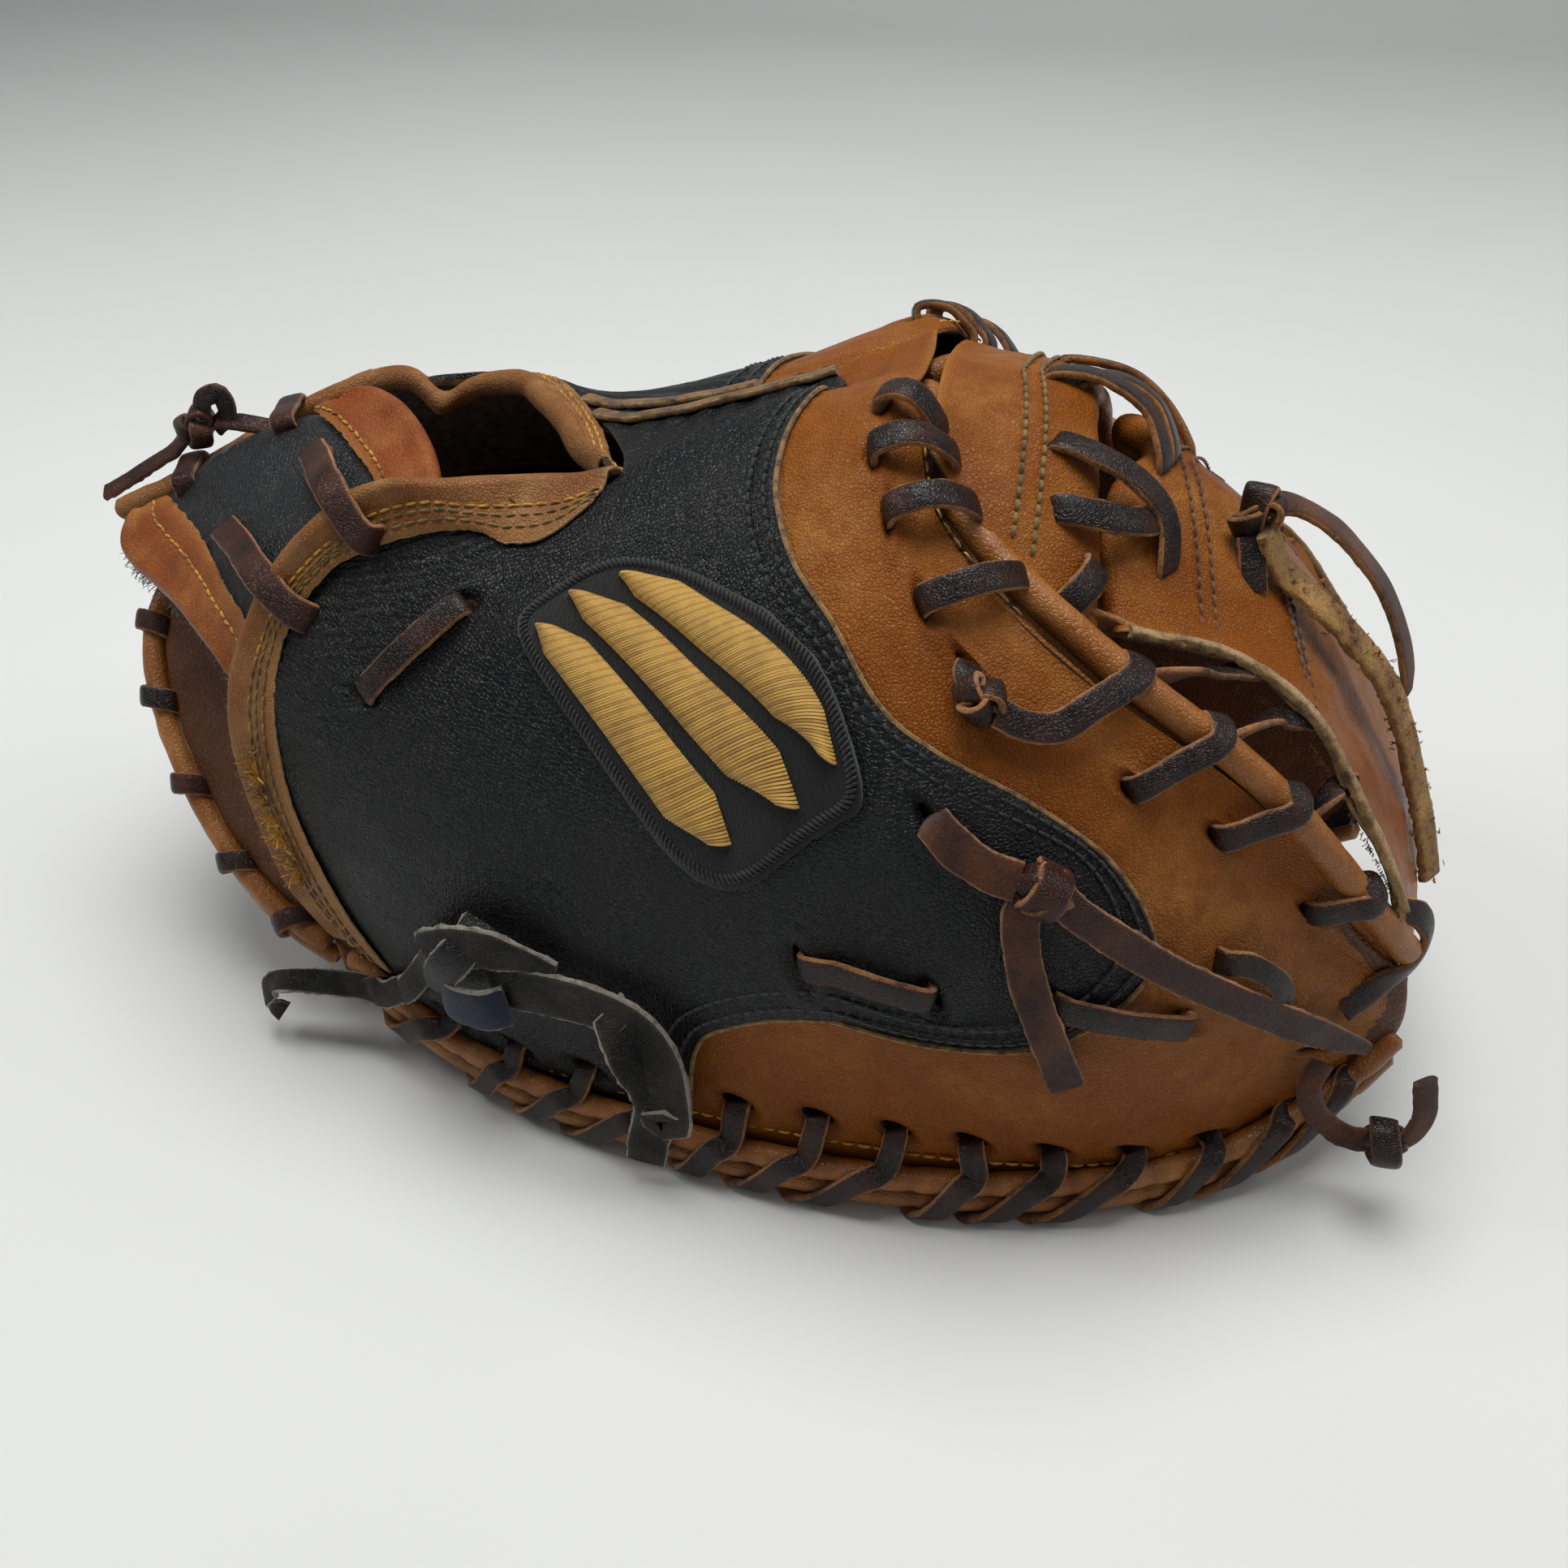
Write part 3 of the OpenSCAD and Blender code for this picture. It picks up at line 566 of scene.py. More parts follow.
def ribbon(build, points, ups, width=LACE_W, thick=LACE_T, step=0.9, fray=0.16, seed=0.0,
           grain=0, side_mat=1, taper=None):
    """A lace along a curve, with smooth grain on the side that ups point to and suede elsewhere."""
    points, ups = np.asarray(points, float), np.asarray(ups, float)
    t, _ = even_path(points, step)
    p = curve(points, t)
    run = unit(np.gradient(p, axis=0))
    up = curve(np.broadcast_to(ups, points.shape), t)
    up = unit(up - run * (up * run).sum(-1, keepdims=True))
    side = np.cross(run, up)
    a = (np.arange(SECTION) + 0.5) / SECTION * 2 * np.pi
    w = np.broadcast_to(np.asarray(taper(t) if taper else 1.0), t.shape) * width / 2
    w = w * (1 + 0.07 * rough(p, 7.0, seed + 4))
    x = np.sign(np.cos(a)) * np.abs(np.cos(a)) ** 0.55
    y = np.sign(np.sin(a)) * np.abs(np.sin(a)) ** 0.62
    rings = (p[:, None] + side[:, None] * (x[None, :] * w[:, None])[..., None]
             + up[:, None] * (y * thick / 2)[None, :, None])
    fuzz = rough(rings, 0.9, seed) * fray + rough(rings, 2.6, seed + 7) * fray
    fuzz = np.where((np.sin(a) > 0.35)[None, :], fuzz * 0.25, fuzz)
    rings = rings + unit(rings - p[:, None]) * fuzz[..., None]
    tone = np.zeros(rings.shape)
    tone[..., 0] = np.where(np.abs(x) > 0.86, 0.9, 0)[None, :]
    tone[..., 1] = (0.45 + 0.9 * rough(rings, 8.0, seed + 2)).clip(0, 1)
    is_grain = np.tile(np.sin((np.arange(SECTION) + 1) / SECTION * 2 * np.pi) > 0.5, len(p) - 1)
    build.add(rings, grid_faces(len(p), SECTION, wrap=True)[:, ::-1], np.where(is_grain, grain, side_mat),
              tone.reshape(-1, 3))
    close_ends(build, rings, p, side_mat)


THREAD_SIDES = 6
# Place along a stitch, thickness and height of each ring of its thread
STITCH_RINGS = [(-0.5, 0.25, -0.5), (-0.38, 0.8, 0.0), (0.0, 1.0, 0.35), (0.38, 0.8, 0.0),
                (0.5, 0.25, -0.5)]


def along_path(at, run, values):
    """Values between those of a path's points, at these lengths."""
    return np.stack([np.interp(at, run, values[:, k]) for k in range(3)], -1)


def stitches(build, path, ups, pitch=3.0, length=2.5, r=0.38, number=0, slant=0.0):
    """A row of thread stitches along a dense path."""
    run = np.concatenate([[0], np.cumsum(np.linalg.norm(np.diff(path, axis=0), axis=1))])
    count = int(run[-1] / pitch)
    at = (np.arange(count) + 0.5) * run[-1] / max(count, 1)
    mid, up = along_path(at, run, path), unit(along_path(at, run, ups))
    along = unit(along_path(at + 0.4, run, path) - along_path(at - 0.4, run, path))
    along = unit(along + np.cross(along, up) * slant)
    arms = spokes(np.cross(along, up), up, THREAD_SIDES)
    rings = np.stack([(mid + along * (x * length) + up * (lift * r))[:, None] + arms * (w * r)
                      for x, w, lift in STITCH_RINGS], 1)
    each = len(STITCH_RINGS) * THREAD_SIDES
    faces = grid_faces(len(STITCH_RINGS), THREAD_SIDES, wrap=True)[:, ::-1]
    faces = (faces[None] + (np.arange(count) * each)[:, None, None]).reshape(-1, 4)
    if count:
        build.add(rings, faces, number)


def strand(build, path, r, number=0, sides=5):
    """One bare thread along a few points."""
    run = unit(np.gradient(path, axis=0))
    side = unit(np.cross(run, [0.1, 0.2, 1.0]))
    rings = path[:, None] + spokes(side, np.cross(side, run), sides) * r
    build.add(rings, grid_faces(len(path), sides, wrap=True)[:, ::-1], number)


FLAT = np.array([250.0, 165.0])     # rough size of the back in mm along u and v


def at_zero(points):
    """Flat points as points in space, at height zero."""
    return np.column_stack([points, np.zeros(len(points))])


def dense_line(points, step):
    """Closely and evenly spaced points on the smooth flat line through a few."""
    return curve(points, even_path(at_zero(points), step)[0])


def back_row(build, side, uv, out, **options):
    """A row of stitches along points given on the back."""
    uv = np.asarray(uv, float)
    q = curve(uv, even_path(at_zero(uv * FLAT), 1.5)[0])
    stitches(build, side.skin(q[:, 0], q[:, 1], out), side.normal(q[:, 0], q[:, 1]), **options)


# ---- Leather panels of the back

HOLE = (3.3, 1.5)                   # half length and half width of a lace hole


def smooth_outline(*runs):
    """One closed outline from runs of points; each run is smooth and its ends are corners."""
    return np.vstack([dense_line(np.asarray(run, float) * FLAT, 1.3)[:-1] for run in runs])


def inside_of(points, ring):
    """Which points lie inside a closed ring."""
    a, b = ring, np.roll(ring, -1, 0)
    hit = np.zeros(len(points), bool)
    for (x0, y0), (x1, y1) in zip(a, b):
        if y0 == y1:
            continue
        between = (points[:, 1] < y0) != (points[:, 1] < y1)
        hit ^= between & (points[:, 0] < (x1 - x0) * (points[:, 1] - y0) / (y1 - y0) + x0)
    return hit


def ring_distance(points, ring, closed=True):
    """How far each point is from a line of points."""
    a = ring if closed else ring[:-1]
    b = np.roll(ring, -1, 0) if closed else ring[1:]
    d = b - a
    best = np.full(len(points), 1e9)
    for p, q, l in zip(a, d, (d ** 2).sum(1)):
        t = np.clip(((points - p) @ q) / max(l, 1e-9), 0, 1)
        best = np.minimum(best, ((points - p - t[:, None] * q) ** 2).sum(1))
    return np.sqrt(best)


def hole_ring(uv, angle, size=HOLE):
    """The outline of a lace hole at a place, turned by an angle."""
    a = np.linspace(0, 2 * np.pi, 14, endpoint=False)
    x, y = size[0] * np.cos(a), size[1] * np.sin(a)
    c, s = math.cos(angle), math.sin(angle)
    return np.asarray(uv) * FLAT + np.column_stack([x * c - y * s, x * s + y * c])


def near_ring(points, ring, reach):
    """Which points lie this close to the middle of a ring."""
    return np.linalg.norm(points - ring.mean(0), axis=1) < reach


def panel_net(outline, rings, step):
    """Flat points and triangles that fill an outline, with holes at the rings."""
    low, high = outline.min(0), outline.max(0)
    gx, gy = np.meshgrid(np.arange(low[0], high[0], step), np.arange(low[1], high[1], step * 0.87),
                         indexing="ij")
    gx = gx + (np.arange(gx.shape[1]) % 2)[None, :] * step / 2
    fill = np.column_stack([gx.ravel(), gy.ravel()])
    fill = fill[inside_of(fill, outline)]
    fill = fill[ring_distance(fill, outline) > step * 0.5]
    for ring in rings:
        near = near_ring(fill, ring, 8)
        keep = np.ones(len(fill), bool)
        keep[near] = ~inside_of(fill[near], ring) & (ring_distance(fill[near], ring) > step * 0.45)
        fill = fill[keep]
    edges, start = [], 0
    for ring in [outline] + rings:
        edges += [(start + k, start + (k + 1) % len(ring)) for k in range(len(ring))]
        start += len(ring)
    cut = delaunay_2d_cdt([Vector(p) for p in np.vstack([outline, *rings, fill])], edges, [], 0, 1e-5)
    flat = np.array([tuple(p) for p in cut[0]])
    faces = np.array([f for f in cut[2] if len(f) == 3])
    mid = flat[faces].mean(1)
    keep = inside_of(mid, outline)
    for ring in rings:
        near = near_ring(mid, ring, 8)
        keep[near] &= ~inside_of(mid[near], ring)
    faces = faces[keep]
    a, b, c = flat[faces[:, 0]], flat[faces[:, 1]], flat[faces[:, 2]]
    turned = (b - a)[:, 0] * (c - a)[:, 1] - (b - a)[:, 1] * (c - a)[:, 0] > 0
    faces[turned] = faces[turned][:, ::-1]
    return flat, faces


def panel(build, side, outline, holes, out, relief, wear, thick=1.5, step=1.6):
    """A leather panel cut to an outline, with real holes, puckered leather and raw edges."""
    rings = [hole_ring(*hole) for hole in in_panel(holes, outline)]
    flat, faces = panel_net(outline, rings, step)
    if side is FINGER:
        faces = faces[:, ::-1]
    n, (u, v) = len(flat), (flat / FLAT).T
    lift, dark = np.zeros(n), np.zeros(n)
    for ring in rings:
        near = near_ring(flat, ring, 14)
        d = ring_distance(flat[near], ring)
        lift[near] += 0.55 * bell(d - 2.4, 1.6) - 0.9 * bell(d, 1.3)
        # painted shade: the leather darkens around each hole, in the tone's third channel
        dark[near] += 0.85 * np.exp(-d / 1.6)
    edge = ring_distance(flat, outline)
    lift = lift + relief(u, v, flat) - 0.45 * thick * bell(edge, 0.7)
    skin, up, fade = side.skin(u, v), side.normal(u, v), side.fade(u.clip(0, 1), v.clip(0, 1))[:, None]
    top = skin + up * (out * fade + lift[:, None])
    under = skin + up * (out * fade + np.minimum(lift, 0.3)[:, None] - thick)
    pairs = np.vstack([faces[:, [0, 1]], faces[:, [1, 2]], faces[:, [2, 0]]]).tolist()
    seen = set(map(tuple, pairs))
    rim = np.array([p for p in pairs if (p[1], p[0]) not in seen])
    walls = np.column_stack([rim[:, 1], rim[:, 0], rim[:, 0] + n, rim[:, 1] + n])
    build.add(top, faces, 0, np.column_stack([0.9 * np.exp(-edge / 0.8), wear(u, v, flat), dark]))
    build.add(under, faces[:, ::-1], 1)
    build.faces.extend((walls + build.count - 2 * n).tolist())
    build.numbers.append(np.full(len(walls), 1))


# The seam between the black and the tan leather, from the top to the rim
SEAM = [(0.39, 0.0), (0.402, 0.1), (0.417, 0.2), (0.437, 0.29), (0.478, 0.375), (0.543, 0.41),
        (0.617, 0.385), (0.677, 0.35), (0.722, 0.352), (0.75, 0.42), (0.753, 0.515), (0.72, 0.63),
        (0.658, 0.725), (0.562, 0.775), (0.49, 0.792), (0.423, 0.818), (0.385, 0.86), (0.35, BACK_END)]


def seam_offset(inset):
    """The seam line moved into the black leather by this many mm, as (u, v) points."""
    line = np.array(SEAM) * FLAT
    run = unit(np.gradient(line, axis=0))
    return (line + np.column_stack([-run[:, 1], run[:, 0]]) * inset) / FLAT


RIM_PITCH = [0.045 + 0.91 * (k + 0.5) / 14 for k in range(14)]
RIM_HOLE_V = 0.928
SLANT = 0.078                       # how far a rim lace leans towards the wrist along u
SEAM_ROWS = (2.2, 5.2)              # stitch rows beside the seam, in mm

# Lace runs laid on the back, between two holes each
BACK_RUNS = {
    "thumb": [((0.133, 0.443), (0.192, 0.312)), ((0.487, 0.733), (0.606, 0.69)),
              ((0.688, 0.622), (0.78, 0.6))],
    "finger": [((0.2, 0.5), (0.26, 0.36)), ((0.34, 0.52), (0.42, 0.4)), ((0.5, 0.7), (0.6, 0.68))],
}
# Web-edge laces: place on the back, place on the web
WEB_HOPS = [((0.487, 0.118), (0.012, -0.80)), ((0.506, 0.195), (0.035, -0.845)),
            ((0.547, 0.212), (0.072, -0.94)), ((0.602, 0.212), (0.147, -0.965))]
LOW_HOPS = [(0.735, 0.2), (0.788, 0.178), (0.858, 0.177)]


def run_angle(a, b):
    """The direction on the flat back of a hole that lies across the lace from a to b."""
    d = (np.array(b) - np.array(a)) * FLAT
    return math.atan2(d[1], d[0]) + math.pi / 2


def back_holes(side):
    """All lace holes of one side: (place, angle of the slit)."""
    holes = [(place, run_angle(*run)) for run in BACK_RUNS[side.name] for place in run]
    holes += [((u, RIM_HOLE_V), 0.25) for u in RIM_PITCH]
    holes += [(on_back, 1.35) for on_back, _ in WEB_HOPS] + [(place, 1.75) for place in LOW_HOPS]
    if side is THUMB:
        holes += [((0.618, 0.473), 0.9), ((0.64, 0.235), 0.6), ((0.885, 0.693), 0.3)]
    return holes


def in_panel(holes, outline, margin=3.2):
    """The holes that lie well inside an outline."""
    places = np.array([place for place, _ in holes]) * FLAT
    clear = inside_of(places, outline) & (ring_distance(places, outline) > margin)
    return [hole for hole, keep in zip(holes, clear) if keep]


def creasing(u, v, flat):
    """Relief of the back leather: the padding's soft lumps, folds at the opening, wrist and tip."""
    p = at_zero(flat)
    lift = 1.1 * rough(p, 42.0, 1.7) + 0.35 * rough(p, 14.0, 5.1)
    wave = np.sin((flat[:, 0] * 0.55 + flat[:, 1] * 0.8) * 0.9 + 2.5 * rough(p, 18.0, 2.0))
    lift += 0.42 * bell(v, 0.16) * bell(u - 0.25, 0.2) * wave
    wave = np.sin(flat[:, 1] * 1.5 + 3 * rough(p, 12.0, 8.0))
    lift += 0.32 * (bell(v - 0.35, 0.2) * bell(u - 0.08, 0.08)) * wave
    lift += 0.3 * bell(u - 0.95, 0.07) * np.sin(flat[:, 1] * 0.5 + 2 * rough(p, 10.0, 4.0))
    lift *= np.clip((0.975 - u) / 0.08, 0, 1)
    return lift * np.clip((BACK_END - v) / 0.05, 0, 1)


def seam_dents(flat, depth=0.3, width=1.0):
    """How deep the thread has pulled the leather down along the stitch rows."""
    rows = [dense_line(seam_offset(row) * FLAT, 2.0) for row in SEAM_ROWS]
    return sum(-depth * bell(ring_distance(flat, row, closed=False), width) for row in rows)


def tan_wear(u, v, flat):
    """Where the tan leather is rubbed: large and small spots, and near the tip."""
    p = at_zero(flat)
    spots = (0.2 + rough(p, 34.0, 12.0)).clip(0) + 0.3 * (0.1 + rough(p, 11.0, 3.0)).clip(0)
    return spots * 0.8 + 0.5 * bell(v - 0.5, 0.2) * bell(u - 0.86, 0.1)


def black_wear(u, v, flat):
    """Where the black leather is rubbed: large spots, and along the wrist."""
    return (0.05 + 0.9 * rough(at_zero(flat), 30.0, 21.0)).clip(0) * 0.6 + 0.35 * bell(u, 0.1)


def build_back(side):
    """The black and tan back leather of one side, with the seam between them."""
    black = smooth_outline([(0.0, 0.02), (0.12, 0.0), (0.25, 0.0), (0.39, 0.0)], SEAM,
                           [(u, BACK_END) for u in (0.35, 0.24, 0.12, 0.0)],
                           [(0.0, BACK_END), (0.0, 0.5), (0.0, 0.02)])
    under = seam_offset(7.0)
    tan = smooth_outline([(TIP_END, v) for v in (0.0, 0.5, BACK_END)],
                         [(u, BACK_END) for u in (TIP_END, 0.66, under[-1][0])],
                         under[::-1], [tuple(under[0]), (0.66, 0.0), (TIP_END, 0.0)])
    holes = back_holes(side)
    b = Build("black", "black_raw", "raw")
    seam = smooth_outline(SEAM) / FLAT
    strand(b, side.skin(seam[:, 0], seam[:, 1], -0.35), 0.55, number=2, sides=6)
    panel(b, side, black, holes, 0.0, lambda u, v, flat: creasing(u, v, flat) + seam_dents(flat), black_wear)
    b.finish(side.name + "_back_leather_black", side.body, side.name + "_back_black")
    b = Build("tan", "back")
    panel(b, side, tan, holes, -1.5, creasing, tan_wear)
    b.finish(side.name + "_back_leather_tan", side.body, side.name + "_back_tan")
    b = Build("thread_black", "thread_gold")
    for inset in SEAM_ROWS:
        back_row(b, side, seam_offset(inset), 0.15, pitch=2.9, length=2.7, r=0.42)
    rim_row = [(u, BACK_END - 0.03) for u in np.linspace(0.02, 0.97, 40)]
    back_row(b, side, rim_row, -0.6, pitch=3.6, length=3.0, r=0.33, number=1)
    b.finish(side.name + "_back_stitching", side.body)


# ---- Rims

ROLL_BACK = (3.4, 4.3)      # middle of each rim roll, out from and up from the rim
ROLL_PALM = (2.4, -1.9)
RIM_SPAN = (0.004, 0.982)   # u where the rolls start and end
# A rim lace's way over both rolls: direction in degrees, roll, share of the lean
RIM_TURNS = [(62, ROLL_BACK, 0.24), (22, ROLL_BACK, 0.42), (-12, ROLL_PALM, 0.72), (-62, ROLL_PALM, 0.9),
             (-105, ROLL_PALM, 1.06)]


def rim_squeeze(t):
    """How far the laces pinch the rim rolls."""
    return sum(0.35 * bell(lerp(*RIM_SPAN, t) - u, 0.006) for u in RIM_PITCH)


def turned(degrees, out, up):
    """The direction at this many degrees from out towards up."""
    return out * math.cos(math.radians(degrees)) + up * math.sin(math.radians(degrees))


def build_rim(side):
    """The two piped rolls of the outer rim and the lace whipped over them."""
    up = np.array([0.0, 0.0, 1.0])
    for label, at in (("back", ROLL_BACK), ("palm", ROLL_PALM)):
        b = Build("roll")
        u = np.linspace(*RIM_SPAN, 90)
        mid = side.rim(u) + side.rim_out(u) * at[0] + [0, 0, at[1]]
        tube(b, mid, ROLL_R, squeeze=rim_squeeze, lumps=0.22)
        b.finish(f"{side.name}_rim_piping_{label}", side.body, f"{side.name}_rim_roll_{label}")
    b = Build("lace", "lace_edge")
    for k, u in enumerate(RIM_PITCH):
        hole, n = side.skin(u, RIM_HOLE_V), side.normal(u, RIM_HOLE_V)
        down = unit(side.skin(u, RIM_HOLE_V + 0.03) - side.skin(u, RIM_HOLE_V))
        points, ups = [hole - n * 3 + down * 0.6, hole + n * 0.4 + down * 0.8], [-down, n - down * 0.7]
        for turn, at, share in RIM_TURNS:
            here = np.array(u - SLANT * share * (1 + 0.25 * math.sin(k * 2.1)))
            out = side.rim_out(here)
            arm = turned(turn, out, up)
            points.append(side.rim(here) + out * at[0] + up * at[1] + arm * (ROLL_R + 1.05))
            ups.append(arm)
        points.append(side.lining(u - SLANT * 1.2, 0.93, 1.0))
        ups.append(-up)
        ribbon(b, points, ups, width=LACE_W * (1 + 0.06 * math.sin(k * 1.7)), seed=k * 3.3)
    b.finish(side.name + "_rim_whip_lace", side.body, side.name + "_rim_lace")


def side_knot(build):
    """The knot beside the web edge, and the lace that leaves it over the piping."""
    centre = THUMB.skin(0.642, 0.272, 3.2)
    run = THUMB.skin(0.664, 0.258) - THUMB.skin(0.626, 0.295)
    laid(build, THUMB, [(0.636, 0.235, 0.5), (0.634, 0.255, 2.6), (0.640, 0.275, 4.0)], dive_out=False,
         grain=0, seed=57, width=5.6)
    knot(build, centre, THUMB.normal(0.642, 0.272), run, r=3.8, width=5.8, seed=58)
    n, o = THUMB.normal(0.7, 0.1), THUMB.web_edge_out(np.array(0.715))
    c = THUMB.web_roll_mid(np.array(0.715))
    path = [THUMB.skin(0.652, 0.268, 3.4), THUMB.skin(0.668, 0.25, 2.4), THUMB.skin(0.686, 0.205, 2.2),
            THUMB.skin(0.70, 0.12, 3.4), c + n * (EDGE_R + 1.0), c + o * (EDGE_R + 1.0), c + o * 2 - n * 6]
    ribbon(build, path, [n, n, n, n, n + o * 0.3, o, o - n], seed=59, width=6.2, fray=0.2)


def web_hop(build, side, on_back, on_web, seed):
    """A lace that springs from a hole in the back over to a hole in the web."""
    hole, n = side.skin(*on_back), side.normal(*on_back)
    far, up = web(*on_web) * side.flip, web_up(*on_web) * side.flip
    d = unit(far - hole)
    rise = unit(n + up) * (1.0 if side is THUMB else 0.7)
    points = [hole - n * 3 - d * 0.4, hole + n * 0.9 + d * 0.5, lerp(hole, far, 0.28) + rise * 4.8,
              lerp(hole, far, 0.55) + rise * 5.9, lerp(hole, far, 0.8) + rise * 4.0,
              far + up * 0.9 - d * 0.6, far - up * 4]
    ups = [-d, n - d, rise - d * 0.35, rise, rise + d * 0.35, up + d, d]
    ribbon(build, points, ups, width=LACE_W * 1.08, seed=seed)


def edge_hop(build, side, on_back, seed):
    """A lace from a hole in the back, over the piping of the web edge and under it."""
    hole, n = side.skin(*on_back), side.normal(*on_back)
    u = on_back[0] + 0.03
    c, o = side.web_roll_mid(np.array(u)), side.web_edge_out(np.array(u))
    d = unit(c - hole)
    low = side.lining(u, 0.0) + o * 4
    points = [hole - n * 3 - d * 0.4, hole + n * 0.9 + d * 0.5, lerp(hole, c, 0.5) + n * 3.0,
              c + n * (EDGE_R + 0.9), c + o * (EDGE_R + 1.0) - n * 0.5, low + o * 2 - n * 3.4,
              low - n * 5 - o * 3]
    ribbon(build, points, [-d, n - d, n, n + o * 0.2, o, o - n, -n], seed=seed)


def edge_loop(build, side, s, u, seed):
    """A lace from the side of the web, under the piping."""
    start = web(s, -0.95, 1.6) * side.flip
    c, o, n = side.web_roll_mid(np.array(u)), side.web_edge_out(np.array(u)), side.normal(u, 0.0)
    end = c + o * 2.0 - n * (EDGE_R + 1.0)
    mid = lerp(start, end, 0.5) + o * 2.5 - n * 1.0
    points = [start + n * 0.5, lerp(start, mid, 0.6), mid, end, end - o * 4 - n * 2]
    ribbon(build, points, [n, n + o, o, o - n, -n], seed=seed)


def build_web_edge(side):
    """The rolls along the web side of one half, their stitching and lacing."""
    b = Build("roll")
    u = np.linspace(0.492, 0.975, 60)
    tube(b, side.web_roll_mid(u), EDGE_R, lumps=0.2)
    low = side.lining(u, 0.0) + side.web_edge_out(u) * (ROLL_R + 1.0) - side.normal(u, 0.0) * 1.5
    tube(b, low[14:], ROLL_R * 0.92, lumps=0.25)
    b.finish(side.name + "_web_edge_piping", side.body, side.name + "_web_roll")
    b = Build("thread_gold")
    row = [(x, 0.03) for x in np.linspace(0.5, 0.66, 12)]
    back_row(b, side, row, -0.7, pitch=3.4, length=2.5, r=0.28)
    b.finish(side.name + "_web_edge_stitching", side.body)
    b = Build("lace", "lace_edge")
    for k, (on_back, on_web) in enumerate(WEB_HOPS):
        web_hop(b, side, on_back, on_web, 20 + k)
    for k, on_back in enumerate(LOW_HOPS):
        edge_hop(b, side, on_back, 40 + k)
    for k, (s, u) in enumerate(((0.36, 0.655), (0.47, 0.72), (0.58, 0.78), (0.70, 0.845))):
        edge_loop(b, side, s, u, 50 + k)
    if side is THUMB:
        hook = [(141, -47, 69), (147, -44, 66), (150, -43, 60), (148, -46, 54), (141, -51, 51),
                (134, -56, 47)]
        ribbon(b, hook, [(0.3, -0.8, 0.5), (0.8, -0.6, 0.3), (1, -0.4, 0), (0.8, -0.6, -0.3),
                         (0.3, -0.9, 0.2), (0.2, -0.9, 0.3)], seed=56, width=6.0)
        side_knot(b)
    b.finish(side.name + "_web_edge_lace", side.body, side.name + "_web_lace")


# ---- Emblem: a plain slanted patch with three satin bars

PATCH_TOP = np.array([(0.236, 0.366), (0.325, 0.318)])
PATCH_LOW = np.array([(0.430, 0.703), (0.588, 0.500)])
# Share of the patch's size and height of each ring of its felt, from the edge to the middle
PATCH_RINGS = [(1.0, -0.3), (1.0, 1.2), (0.985, 1.7), (0.93, 1.8), (0.8, 1.75), (0.6, 1.8), (0.4, 1.8),
               (0.2, 1.8), (0.02, 1.8)]
SATIN_BARS = [(-0.29, 0.37), (0.0, 0.41), (0.29, 0.37)]     # place across the patch, half length
SATIN_ROWS = 96


def patch_place(i, j):
    """(u, v) of a place on the patch: i across it and j along it, both from -0.5 to 0.5."""
    x, y = np.asarray(i + 0.5)[..., None], np.asarray(j + 0.5)[..., None]
    q = lerp(lerp(PATCH_TOP[0], PATCH_TOP[1], x), lerp(PATCH_LOW[0], PATCH_LOW[1], x), y)
    return q[..., 0], q[..., 1]


def patch_edge(count, inset=0.0):
    """A closed line with round corners, this share inside the patch."""
    a = np.linspace(0, 2 * np.pi, count)
    i = (0.5 - inset) * np.sign(np.cos(a)) * np.abs(np.cos(a)) ** 0.45
    j = (0.5 - inset * 0.7) * np.sign(np.sin(a)) * np.abs(np.sin(a)) ** 0.45
    return i, j


def build_patch():
    """A padded felt patch with a stitched border and three satin-stitched bars."""
    b = Build("felt")
    i, j = [x[:-1] for x in patch_edge(73)]
    p = np.array([THUMB.skin(*patch_place(i * share, j * share), out) for share, out in PATCH_RINGS])
    p += 0.12 * rough(p, 1.1, 2.2)[..., None]
    b.add(p, grid_faces(*p.shape[:2], wrap=True)[:, ::-1])
    b.finish("emblem_felt_patch", "thumb_side", "emblem_patch")
    b = Build("satin", "thread_black", "satin_shade")
    x = np.linspace(-1, 1, 9)
    puff = 1.9 + 1.5 * np.sqrt(np.clip(1 - x ** 2, 0, 1))
    for bar, (across, reach) in enumerate(SATIN_BARS):
        for k in range(SATIN_ROWS):
            half = 0.105 * min(1.0, 5.0 * min(k, SATIN_ROWS - 1 - k) / SATIN_ROWS + 0.3)
            u, v = patch_place(across + half * x, lerp(-reach, reach, k / (SATIN_ROWS - 1)) + 0.02 * x)
            # two strands in every seven take the darker satin, painted shade
            strand(b, THUMB.skin(u, v, puff), 0.42, number=2 if (k * 5 + bar) % 7 < 2 else 0)
    u, v = patch_place(*patch_edge(180, 0.035))
    stitches(b, THUMB.skin(u, v, 1.9), THUMB.normal(u, v), pitch=1.1, length=2.6, r=0.42, number=1,
             slant=1.6)
    b.finish("emblem_satin_bars", "thumb_side", "emblem_thread")


# ---- Folded bindings

